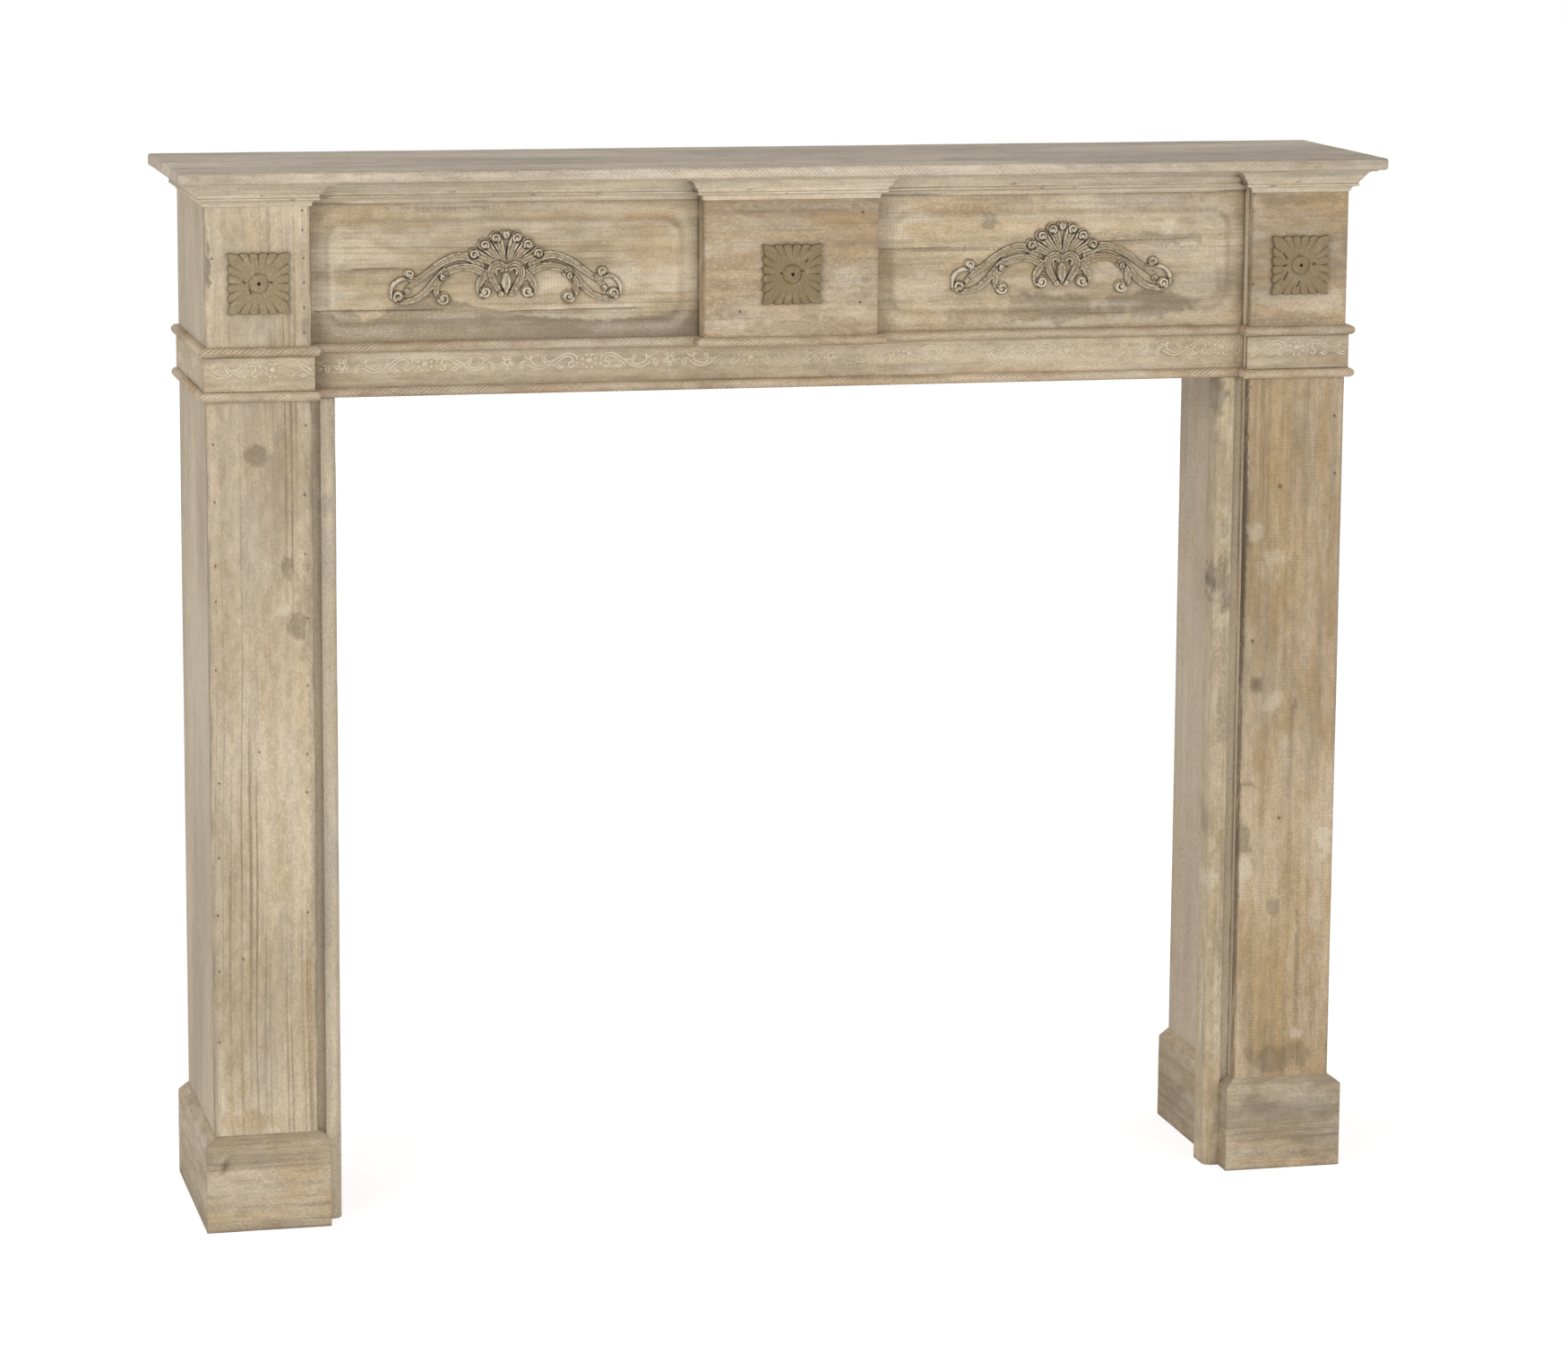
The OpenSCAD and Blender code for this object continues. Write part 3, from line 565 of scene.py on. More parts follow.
board("centre_block", "block_pine", 0, step=3,
      marks=[(81, 1048, 1.5), (83, 1151, 1.6), (-100, 1014, 1.5), (-60, 1040, 1.4)],
      spots=[(-40, 1130, 60, 10, BROWN, 0.4), (60, 1142, 44, 12, BROWN, 0.6), (20, 1022, 70, 12, GREY, 0.6),
             (-75, 1100, 30, 16, BROWN, 0.45), (70, 1075, 24, 14, LIME_AND_LIGHT, 0.5), (0, 1158, 90, 4, LIME_AND_LIGHT, 0.4),
             (60, 1100, 40, 10, BROWN, 0.35), (-70, 1040, 30, 10, GREY, 0.4)], rims=(0.45, 0.25))
for side in ("left", "right"):
    for part, grey, lime in (("outer", 0.25, 0.45), ("inner", 0.35, 1.0)):
        heights = [(n, 1150 - 150 * n) for n in range(9)]
        washed = [(0, z, 0, 130, GREY, grey * (0.6 + 0.4 * math.sin(n * 2.3) ** 2)) for n, z in heights]
        washed += [(0, z, 0, 150, LIME_AND_LIGHT, lime * (0.8 + 0.2 * math.sin(n * 1.7 + 1))) for n, z in heights]
        board(side + "_" + part + "_side", side + "_leg_pine", 2, step=8, spots=washed, front=300)

# ---- Frieze ----
board("lintel_band", "band_pine", 0, step=5, r=1.0, chips=0.3, wave=0.1, spots=[
    (-540, 985, 14, 26, GREY, 0.6), (-90, 965, 50, 12, GREY, 0.5), (60, 975, 40, 14, GREY, 0.5),
    (250, 960, 80, 8, BROWN, 0.5), (-300, 958, 80, 8, BROWN, 0.4), (480, 990, 50, 20, GREY, 0.5),
    (-450, 996, 60, 6, LIME_AND_LIGHT, 0.35), (150, 958, 60, 8, LIME_AND_LIGHT, 0.35)])

# The slope round a frieze panel's raised field: its width, its depth and the field's corner radius
PANEL_MARGIN, PANEL_SINK, PANEL_CORNER = 25, 4, 18


def field_sink(x, z):
    """How far a frieze panel lies behind its raised field at (x, z), and the distance past the field."""
    x0, x1 = CENTRE_X + PANEL_MARGIN, LEG_IN - PANEL_MARGIN
    z0, z1 = FRIEZE_Z + PANEL_MARGIN, CROWN_Z - PANEL_MARGIN
    qx = np.maximum(np.maximum(x0 + PANEL_CORNER - x, x - (x1 - PANEL_CORNER)), 0)
    qz = np.maximum(np.maximum(z0 + PANEL_CORNER - z, z - (z1 - PANEL_CORNER)), 0)
    d = np.hypot(qx, qz) - PANEL_CORNER
    inside = np.minimum(np.minimum(x - x0, x1 - x), np.minimum(z - z0, z1 - z))
    d = np.where((qx > 0) | (qz > 0), d, -inside)
    t = np.clip(d / PANEL_MARGIN, 0, 1.3)
    ridge = 0.5 * np.exp(-((d - 1.0) / 3.0) ** 2)
    return np.minimum(PANEL_SINK * (t ** 0.8), PANEL_SINK) + ridge, d


# Cracks along the panels as (x0, x1, z, slope), with -1 for the left panel and 1 for the right
CRACKS = {-1: [(-548, -385, 1047, -0.004), (-505, -430, 1093, 0.02), (-330, -160, 1043, 0.01)],
          1: [(104, 205, 1106, 0.01), (370, 500, 1111, 0.02), (300, 430, 1028, 0.0)]}

# The top edge of the dark stain along the foot of the left panel
STAIN_X = [-549, -520, -500, -487, -474, -455, -436, -400, -360, -300, -220, -160, -127]
STAIN_TOP = [1044, 1047, 1048, 1036, 1037, 1050, 1062, 1064, 1050, 1037, 1031, 1036, 1040]


def panel_shape(sign):
    """The raised field, cracks and stains of a frieze panel, with painted shade beside the blocks and round
    the field and a painted highlight along the field's edge, as board's shape.
    """
    def lines(three):
        edges = np.array([CENTRE_X - 0.6, CENTRE_X])
        fine = np.arange(CENTRE_X + 2, LEG_IN - 1, 2.6)
        xs = np.sort(np.concatenate([np.arange(0, CENTRE_X - 10, 12), edges, fine, [LEG_IN]]))
        fine_z = [c[2] + o for c in CRACKS[sign] for o in np.arange(-2.5, 2.6, 0.62)]
        coarse_z = np.arange(FRIEZE_Z, CROWN_Z - 1, 2.2)
        zs = np.concatenate([coarse_z, fine_z, [CROWN_Z, CROWN_Z + 0.6, SHELF_Z]])
        zs = np.unique(np.round(zs / 0.3).astype(int)) * 0.3
        zs[0], zs[-1] = FRIEZE_Z, SHELF_Z
        return [np.sort(sign * xs), three[1], zs]

    def move(p, out, lo, tone):
        x, z = sign * p[:, 0], p[:, 2]
        sink, d = field_sink(x, z)
        shown = (x > CENTRE_X - 0.1) & (z < CROWN_Z + 0.1)
        depth = np.clip(1 - (p[:, 1] - lo[1]) / 13, 0, 1)
        out = p.copy()
        out[:, 1] += np.where(shown, depth * (sink + 0.35 * fbm(p * (1, 0, 1), 50, 77 + sign)), 0)
        # Dark beside the blocks, grime and painted shade of the corner, and a dark band on the slope just
        # outside the raised field, painted shade
        sides = np.minimum(x - CENTRE_X, LEG_IN - x)
        shade_and_dirt = 1.1 * np.exp(-np.maximum(sides - 1, 0) / 1.5) * (0.35 + fbm(p, 16, 13))
        shade_and_dirt = shade_and_dirt + 0.30 * np.exp(-((d - 4) / 3.5) ** 2) * step01(fbm(p, 45, 19), 0.2, 0.6)
        for cx0, cx1, cz, lean in CRACKS[sign]:
            line = cz + lean * (p[:, 0] - cx0) + 1.2 * (fbm(p * (1, 0, 0), 25, 29) - 0.5)
            ends = step01(p[:, 0], cx0, cx0 + 8) * (1 - step01(p[:, 0], cx1 - 25, cx1))
            crack = ends * (1 - step01(np.abs(z - line), 0.35, 1.1))
            shade_and_dirt = np.maximum(shade_and_dirt, (0.7 if sign < 0 else 0.45) * crack)
            out[:, 1] += np.where(shown, depth * 0.7 * crack, 0)
        seen = shown & (depth > 0.8)
        deepen(tone, DIRT_AND_SHADE, shade_and_dirt * seen)
        if sign < 0:
            top = np.interp(p[:, 0], STAIN_X, STAIN_TOP) + 9 * (fbm(p * (1, 0, 1), (9, 9, 5), 41) - 0.5)
            below = 1 - step01(z - top, -1.2, 1.2)
            deepen(tone, GREY, seen * below * (0.85 + 0.15 * fbm(p, (60, 9, 12), 43)))
        # Pale lines along the field's edge and partway down the slope: painted highlights
        pale = 0.75 * np.exp(-((d + 2) / 3.0) ** 2) * step01(fbm(p, 50, 23), 0.35, 0.65)
        pale = np.maximum(pale, 0.6 * np.exp(-((d - 14) / 6.0) ** 2) * step01(fbm(p, 60, 24), 0.4, 0.65))
        deepen(tone, LIME_AND_LIGHT, pale * seen)
        return out

    return {"lines": lines, "move": move}


PANEL_SPOTS = {
    -1: [
        (-500, 1047, 45, 1.6, DIRT_AND_SHADE, 0.6), (-260, 1042, 90, 1.6, DIRT_AND_SHADE, 0.4), (-430, 1175, 60, 2, DIRT_AND_SHADE, 0.7),
        (-470, 1092, 55, 1.8, DIRT_AND_SHADE, 0.5), (-390, 1160, 70, 2, DIRT_AND_SHADE, 0.5), (-470, 1143, 60, 10, BROWN, 0.5),
        (-500, 1085, 30, 14, BROWN, 0.35), (-320, 1128, 60, 7, BROWN, 0.4),
        (-250, 1150, 90, 10, BROWN, 0.5), (-160, 1140, 40, 16, BROWN, 0.6),
        (-155, 1100, 30, 20, BROWN, 0.5), (-380, 1126, 55, 8, BROWN, 0.35),
        (-240, 1060, 60, 12, BROWN, 0.35), (-525, 1120, 16, 30, LIME_AND_LIGHT, 0.5),
        (-350, 1160, 120, 10, LIME_AND_LIGHT, 0.35)],
    1: [
        (240, 1138, 11, 11, GREY, 0.9), (190, 1150, 45, 12, BROWN, 0.6), (315, 1034, 75, 18, GREY, 0.95),
        (440, 1036, 66, 17, GREY, 0.95), (230, 1030, 60, 14, GREY, 0.5), (250, 1032, 80, 12, BROWN, 0.5),
        (470, 1145, 26, 20, BROWN, 0.45), (440, 1112, 70, 9, GREY, 0.75), (250, 1158, 60, 12, GREY, 0.4),
        (200, 1105, 70, 3, GREY, 0.8), (165, 1125, 24, 16, BROWN, 0.5), (430, 1160, 80, 10, GREY, 0.4),
        (300, 1085, 60, 10, BROWN, 0.3), (160, 1060, 40, 16, LIME_AND_LIGHT, 0.5), (490, 1060, 30, 26, LIME_AND_LIGHT, 0.5),
        (350, 1018, 120, 5, LIME_AND_LIGHT, 0.5), (480, 1020, 50, 8, BROWN, 0.4), (455, 1128, 12, 8, LIME_AND_LIGHT, 0.9)]}
for side, sign in (("left", -1), ("right", 1)):
    board(side + "_frieze_panel", "panel_pine", 0, r=0.4, step=8, chips=0, front=14, spots=PANEL_SPOTS[sign],
          shape=panel_shape(sign))

# ---- Mouldings that follow the plan ----
LEFT_BEND = [(-LEG_OUT, WALL_Y), (-LEG_OUT, FACE_Y), (-LEG_IN, FACE_Y), (-LEG_IN, FRIEZE_Y)]
RIGHT_BEND = [(LEG_IN, FRIEZE_Y), (LEG_IN, FACE_Y), (LEG_OUT, FACE_Y), (LEG_OUT, WALL_Y)]
CENTRE_BEND = [(-CENTRE_X, FRIEZE_Y), (-CENTRE_X, FACE_Y), (CENTRE_X, FACE_Y), (CENTRE_X, FRIEZE_Y)]
FRIEZE_LINE = LEFT_BEND + CENTRE_BEND + RIGHT_BEND
LINTEL_LINE = LEFT_BEND + RIGHT_BEND
FRIEZE_LENGTHS = ["left_side", "left_front", "left_return", "left_frieze", "centre_left", "centre_front",
                  "centre_right", "right_frieze", "right_return", "right_front", "right_side"]
LINTEL_LENGTHS = ["left_side", "left_front", "left_return", "lintel",
                  "right_return", "right_front", "right_side"]


def turn_at(line, i):
    """1 where the line turns outwards at point i, -1 where it turns inwards, 0 at its ends."""
    if i in (0, len(line) - 1):
        return 0
    (ax, ay), (bx, by), (cx, cy) = line[i - 1:i + 2]
    return int(np.sign((bx - ax) * (cy - by) - (by - ay) * (cx - bx)))


def sweep(a, b, turn_a, turn_b, profile, z0, step, bend=None, marks=()):
    """A mitred length from a to b. profile is a closed loop of (out, z), bottom back to top back.
    bend(along, out, z) gives the loop's new (out, z). Returns verts, faces, wood and the loop index."""
    a, b = np.array(a, float), np.array(b, float)
    run = np.linalg.norm(b - a)
    d = (b - a) / run
    perp = np.array([d[1], -d[0]])
    out, z = np.array(profile, float).T
    even = np.linspace(0, 1, max(2, int(math.ceil(run / step)) + 1))
    near = [(m + o) / run for m in marks for o in (-1.6, -0.8, 0, 0.8, 1.6)]
    u = np.sort(np.concatenate([even, near]))[:, None]
    n = len(u)
    start, end = -turn_a * out, run + turn_b * out
    along = start + (end - start) * u
    o, zz = np.broadcast_to(out, along.shape), np.broadcast_to(z, along.shape)
    if bend:
        o, zz = bend(along, o, zz)
    xy = a + d * along[..., None] + perp * o[..., None]
    verts = np.concatenate([xy, (zz + z0)[..., None]], -1).reshape(-1, 3)
    wood = np.stack([along, zz, o], -1).reshape(-1, 3)
    return verts, ring_faces(n, len(profile)), wood, np.tile(np.arange(len(profile)), n)


def sweep_length(line, i, *rest):
    """The mitred length of a plan line that starts at its point i."""
    return sweep(line[i], line[i + 1], turn_at(line, i), turn_at(line, i + 1), *rest)


def crown_profile():
    """Drawn 26 mm out and 27 mm high, then scaled to the CAD's crown."""
    h, p = (SHELF_Z - CROWN_Z) / 27, CROWN_P / 26

    def arc(cx, cy, rx, ry, a0, a1):
        turn = np.radians(np.linspace(a0, a1, 7))
        return [(cx + rx * math.cos(a), cy + ry * math.sin(a)) for a in turn]

    pts = [(0, 0), (1.3, 0), (1.5, 0.3)] + arc(7, 1, 5.5, 5.5, 180, 90) + arc(7.8, 8.2, 1.7, 1.7, -90, 90)
    pts += [(9 + 5 * (t - math.sin(2 * math.pi * t) / 8), 10 + 9 * t) for t in np.linspace(0, 1, 9)]
    pts += [(15.3, 19), (15.5, 19.3), (15.5, 20.5)] + arc(24.5, 20.5, 8, 4.2, 180, 90)[1:]
    pts += [(25.7, 24.7), (26, 25), (26, 26.7), (25.8, 27), (0, 27)]
    return [(x * p, z * h) for x, z in pts]


CROWN = crown_profile()
# Painted shade and grime at each point of the profile: most in its inner corners, where shade falls
CROWN_SHADE_AND_DIRT = np.array([0.0, 0.0, 0.1] + [0.5, 0.3, 0.1, 0.1, 0.2, 0.6, 1.2] + [0.9, 0.2, 0, 0, 0, 0.2, 1.0]
                      + [0.9, 0.2, 0, 0, 0, 0, 0, 0.2, 0.9] + [1.1, 0.2, 0.3]
                      + [0.2, 0.1, 0, 0, 0, 0] + [0] * 5)
NAIL_PITCH = 38


def settle(amount, size, seed):
    """Bends a swept profile by a little low noise, never outwards."""
    def bend(along, out, z):
        p = np.stack([along, out * 3, z * 3], -1).reshape(-1, 3)
        dip = amount * fbm(p, size, seed).reshape(along.shape)
        return np.where(out > 0.5, out - np.minimum(dip, out * 0.5), out), z
    return bend


for i, name in enumerate(FRIEZE_LENGTHS):
    run = math.dist(FRIEZE_LINE[i], FRIEZE_LINE[i + 1])
    count = int(run // NAIL_PITCH) if run > 60 else 0
    nails = [16 + NAIL_PITCH * n + 9 * math.sin(7.0 * n + i) for n in range(count)]
    v, f, w, k = sweep_length(FRIEZE_LINE, i, CROWN, CROWN_Z, 9, settle(0.45, 30, 40 + i), nails)
    tone = np.zeros((len(v), 4))
    tone[:, DIRT_AND_SHADE] = 0.42 * CROWN_SHADE_AND_DIRT[k] * step01(fbm(w, (60, 8, 8), 60 + i), 0.25, 0.75)
    # The returns, which face sideways, are darkened all over: painted shade and grime
    if "return" in name or name in ("centre_left", "centre_right"):
        tone[:, DIRT_AND_SHADE] = 0.75 * step01(fbm(w, 8, 63 + i), 0.2, 0.6)
    # A dark line along the crown's foot where it meets the frieze panel: painted shade under the moulding
    if "frieze" in name:
        deepen(tone, DIRT_AND_SHADE, 0.75 * (k < 4) * step01(fbm(w * (1, 0, 0), 70, 66 + i), 0.5, 0.62))
    tone[:, LIME_AND_LIGHT] = 0.25 + 0.5 * step01(fbm(w, (40, 5, 5), 90 + i), 0.5, 0.75)
    for m, at in enumerate(nails):
        near = np.hypot(w[:, 0] - at, w[:, 1] - 7.5 - 5 * (m % 3 == 1))
        deepen(tone, DIRT_AND_SHADE, 0.9 * (1 - step01(near, 0.5, 1.5)))
    make("moulded_crown_" + name, v, f, "moulding_pine", ["crown_" + name], w, tone, angle=50)


def rope_profile(n=10):
    """The rope's half round on its flat back."""
    r = ROPE_H / 2
    turn = np.linspace(-math.pi / 2, math.pi / 2, n)
    return [(0, 0)] + [(ROPE_P - r + r * math.cos(a), r + r * math.sin(a)) for a in turn] + [(0, ROPE_H)]


ROPE = rope_profile()
# Spacing of the strands, how far they lean as they cross the rope, and how deep the cuts are
ROPE_PITCH, ROPE_LEAN, ROPE_CUT = 6.4, 1.35, 1.25


def rope_twist(along, out, z):
    """Cuts slanting grooves between round strands."""
    r = ROPE_H / 2
    cx = ROPE_P - r
    angle = np.arctan2(z - r, np.maximum(out - cx, 1e-6))
    phase = (along - ROPE_LEAN * r * angle) / ROPE_PITCH
    strand = np.abs(np.sin(np.pi * phase)) ** 0.75
    share = step01(out, 1.0, cx + 1.5)
    rr = r - ROPE_CUT * (1 - strand) * share
    round_part = out > cx - 0.01
    new_out = np.where(round_part, cx + rr * np.cos(angle), out)
    new_z = np.where(round_part, r + rr * np.sin(angle), z)
    return new_out, new_z


def rope(prefix, lengths, line, z0, seed):
    for i, name in enumerate(lengths):
        v, f, w, k = sweep_length(line, i, ROPE, z0, 1.0, rope_twist)
        angle = (np.arange(len(ROPE)) - 1) / (len(ROPE) - 3) * math.pi - math.pi / 2
        phase = (w[:, 0] - ROPE_LEAN * ROPE_H / 2 * angle[k]) / ROPE_PITCH
        strand = np.abs(np.sin(np.pi * phase))
        tone = np.zeros((len(v), 4))
        worn = fbm(w, (50, 20, 20), seed + i)
        # Dark in the grooves between strands, grime and painted shade, and pale on the strands' crowns,
        # rubbed lime and a painted highlight
        tone[:, DIRT_AND_SHADE] = 0.5 * (1 - step01(strand, 0.05, 0.5)) * step01(worn, 0.2, 0.6)
        rubbed_and_lit = step01(fbm(w, (30, 12, 12), seed + 50 + i), 0.42, 0.62)
        tone[:, LIME_AND_LIGHT] = 0.75 * step01(strand, 0.6, 0.95) * rubbed_and_lit
        make("carved_" + prefix + name, v, f, "rope_pine", [prefix + name], w, tone, angle=60)


rope("upper_rope_", FRIEZE_LENGTHS, FRIEZE_LINE, UPPER_ROPE_Z, 200)
rope("lower_rope_", LINTEL_LENGTHS, LINTEL_LINE, OPENING_Z, 300)

# ---- Plinths ----
PLINTH_BEVEL, PLINTH_ROUND = 7, 4


def plinth_profile():
    top = PLINTH_H - PLINTH_BEVEL - PLINTH_ROUND
    pts = [(0, 0), (PLINTH_T - 1, 0), (PLINTH_T, 1.0)] + [(PLINTH_T, z) for z in np.linspace(12, top, 9)]
    pts += [(PLINTH_T - PLINTH_ROUND + PLINTH_ROUND * math.cos(a), top + PLINTH_ROUND * math.sin(a))
            for a in np.radians([15, 30, 45, 60])]
    return pts + [(PLINTH_T * 0.3, PLINTH_H - 2.2), (0, PLINTH_H)]


PLINTH = plinth_profile()
JAMB_FRONT, JAMB_BACK = JAMB_LO[1], JAMB_HI[1]
# The left plinth's plan; the right one is its mirror image
PLINTH_LINE = [(-LEG_OUT, WALL_Y), (-LEG_OUT, FACE_Y), (-LEG_IN, FACE_Y), (-LEG_IN, JAMB_FRONT)]
REVEAL_LINE = [(-LEG_IN, JAMB_BACK), (-LEG_IN, WALL_Y)]
PLINTH_SPOTS = {
    "left_plinth_front": [
        (-661, 98, 1.8, 1.8, DIRT_AND_SHADE, 1), (-659, 77, 1.8, 1.8, DIRT_AND_SHADE, 1), (-669, 61, 2, 2, DIRT_AND_SHADE, 1),
        (-660, 53, 1.8, 1.8, DIRT_AND_SHADE, 1), (-661, 15, 1.8, 1.8, DIRT_AND_SHADE, 1), (-571, 63, 30, 24, BROWN, 0.55),
        (-665, 6, 26, 8, BROWN, 0.5), (-640, 28, 18, 8, GREY, 0.5)],
    "right_plinth_front": [
        (640, 70, 60, 14, GREY, 0.7), (575, 82, 30, 8, DIRT_AND_SHADE, 0.45), (650, 30, 40, 8, DIRT_AND_SHADE, 0.35),
        (559, 29, 2.5, 2.5, LIME_AND_LIGHT, 1), (656, 8, 3, 3, LIME_AND_LIGHT, 1), (585, 98, 18, 4, BROWN, 0.7),
        (648, 49, 2, 2, DIRT_AND_SHADE, 1), (600, 55, 75, 30, GREY, 0.35), (590, 40, 40, 26, BROWN, 0.45),
        (600, 10, 70, 12, BROWN, 0.6), (640, 80, 40, 16, LIME_AND_LIGHT, 0.4)],
}


def plinth(side, part, line, i):
    """One mitred length of a plinth, from point i of its plan."""
    v, f, w, _ = sweep_length(line, i, PLINTH, 0, 6, settle(0.8, 45, 400 + len(pieces)))
    if side == "right":
        v, f = mirrored(v, f)
    node = side + "_plinth_" + part
    seed = 500 + len(pieces)
    tone = np.zeros((len(v), 4))
    tone[:, DIRT_AND_SHADE] = 0.3 * step01(18 - v[:, 2], 0, 18) * fbm(v, 20, seed)
    tone[:, LIME_AND_LIGHT] = 0.6 * (np.abs(v[:, 2] - 101) < 4) * step01(fbm(v, 22, seed + 1), 0.45, 0.7)
    tone[:, BROWN] = 0.4 * step01(fbm(v, (60, 60, 14), seed + 2), 0.5, 0.75)
    add_spots(tone, v, PLINTH_SPOTS.get(node, ()), seed, rough=0.3)
    make("worn_" + node, v, f, "plinth_pine", [node], w, tone, angle=45)


for side in ("left", "right"):
    for i, part in enumerate(("side", "front", "return")):
        plinth(side, part, PLINTH_LINE, i)
    plinth(side, "reveal", REVEAL_LINE, 0)

# ---- Jamb mouldings ----
# Radius of the free front corner, and the depth and width of the hollow edge beside the leg
JAMB_R, JAMB_COVE, JAMB_COVE_W = 11, 5, 11.5
JAMB_SPOTS = {-1: [(-534, 829, 9, 14, GREY, 0.9), (-533, 905, 14, 60, DIRT_AND_SHADE, 0.2)],
              1: [(528, 707, 12, 34, GREY, 1.0), (518, 709, 6, 9, DIRT_AND_SHADE, 0.6), (521, 351, 10, 14, LIME_AND_LIGHT, 0.9),
                  (521, 930, 9, 26, DIRT_AND_SHADE, 0.6), (523, 925, 8, 10, LIME_AND_LIGHT, 0.9), (531, 399, 4, 9, BROWN, 0.8)]}


def jamb(side, sign):
    """Made on the right, where its free edge is at the lower x, and mirrored for the left."""
    front, back = JAMB_FRONT, JAMB_BACK
    free, fixed = JAMB_LO[0], JAMB_HI[0]
    arc = [(free + JAMB_R - JAMB_R * math.cos(a), front + JAMB_R - JAMB_R * math.sin(a))
           for a in np.linspace(0, math.pi / 2, 9)]
    flat = [(x, front) for x in np.linspace(free + JAMB_R + 1.5, fixed - JAMB_COVE_W - 0.6, 3)]
    cove = [(fixed - JAMB_COVE_W * math.cos(a), front + JAMB_COVE * math.sin(a))
            for a in np.linspace(0, math.pi / 2, 7)]
    side_pts = [(free, y) for y in np.linspace(back - 1, front + JAMB_R + 2, 5)]
    loop = [(fixed, back), (free + 1, back)] + side_pts + arc + flat + cove
    zs = axis_lines(0, JAMB_HI[2], 1.0, 6)
    m, n = len(loop), len(zs)
    v = np.concatenate([np.tile(np.array(loop), (n, 1)), np.repeat(zs, m)[:, None]], 1)
    # k counts round the loop: 2 to 15 are the free side and its round corner, the last 7 the hollow edge
    k = np.tile(np.arange(m), n)
    seed = 700 + (sign > 0) * 40
    worn = fbm(v, (18, 18, 60), seed)
    free_part = (k > 1) & (k < 16)
    dent = 0.9 * np.clip(worn - 0.45, 0, 1) * free_part
    centre = np.array([(free + fixed) / 2, (front + back) / 2])
    towards = centre - v[:, :2]
    towards /= np.linalg.norm(towards, axis=1)[:, None]
    p = v.copy()
    p[:, :2] += towards * dent[:, None] * 2.0
    inset = np.minimum(np.minimum(v[:, 2], JAMB_HI[2] - v[:, 2]), 1.0)
    p[:, :2] += towards * (1 - inset)[:, None] * 0.8
    tone = np.zeros((len(v), 4))
    # Dark at the inner corner against the leg: painted shade
    tone[:, DIRT_AND_SHADE] = 0.5 * (k == m - 1) * step01(fbm(v, (20, 20, 40), seed + 1), 0.3, 0.6)
    flaked = step01(fbm(v, (30, 30, 120), seed + 3), 0.3, 0.6)
    tone[:, LIME_AND_LIGHT] = 0.8 * step01(fbm(v, (6, 6, 9), seed + 2), 0.5, 0.72) * flaked
    # The hollow edge is lifted pale: painted light against the shade that the leg's step casts there
    deepen(tone, LIME_AND_LIGHT, 0.9 * (k >= m - 6) * (k < m - 1))
    # The left jamb, which the leg shades from the key lamp, is lifted pale all over: painted light
    if sign < 0:
        deepen(tone, LIME_AND_LIGHT, 0.75 + 0.25 * worn)
    tone[:, GREY] = 0.6 * step01(fbm(v, (30, 30, 70), seed + 4), 0.5, 0.7) * (k < m - 6)
    tone[:, BROWN] = 0.5 * (k > 10) * (k < 15) * step01(fbm(v, (30, 30, 160), seed + 8), 0.35, 0.6)
    spots = [(abs(x), *rest) for x, *rest in JAMB_SPOTS[sign]]
    add_spots(tone, v, spots, seed + 5)
    faces = ring_faces(n, m)
    if sign < 0:
        p, faces = mirrored(p, faces)
    wood = v[:, [2, 0, 1]]
    make("worn_" + side + "_jamb_moulding", p, faces, "jamb_pine", [side + "_jamb_moulding"], wood, tone,
         angle=40)


jamb("left", -1)
jamb("right", 1)


# ---- Scroll band ----
def smooth_line(points, spacing=0.9):
    """A Catmull-Rom curve through points, at an even spacing."""
    p = np.array(points, float)
    q = np.concatenate([[2 * p[0] - p[1]], p, [2 * p[-1] - p[-2]]])
    curve = []
    for i in range(1, len(q) - 2):
        t = np.linspace(0, 1, 12, endpoint=False)[:, None]
        a, b, c, d = q[i - 1], q[i], q[i + 1], q[i + 2]
        curve.append(0.5 * (2 * b + (c - a) * t + (2 * a - 5 * b + 4 * c - d) * t**2
                            + (3 * b - a - 3 * c + d) * t**3))
    curve = np.concatenate(curve + [p[-1:]])
    length = np.concatenate([[0], np.cumsum(np.linalg.norm(np.diff(curve, axis=0), axis=1))])
    s = np.linspace(0, length[-1], max(3, int(length[-1] / spacing) + 1))
    return np.stack([np.interp(s, length, curve[:, 0]), np.interp(s, length, curve[:, 1])], 1)


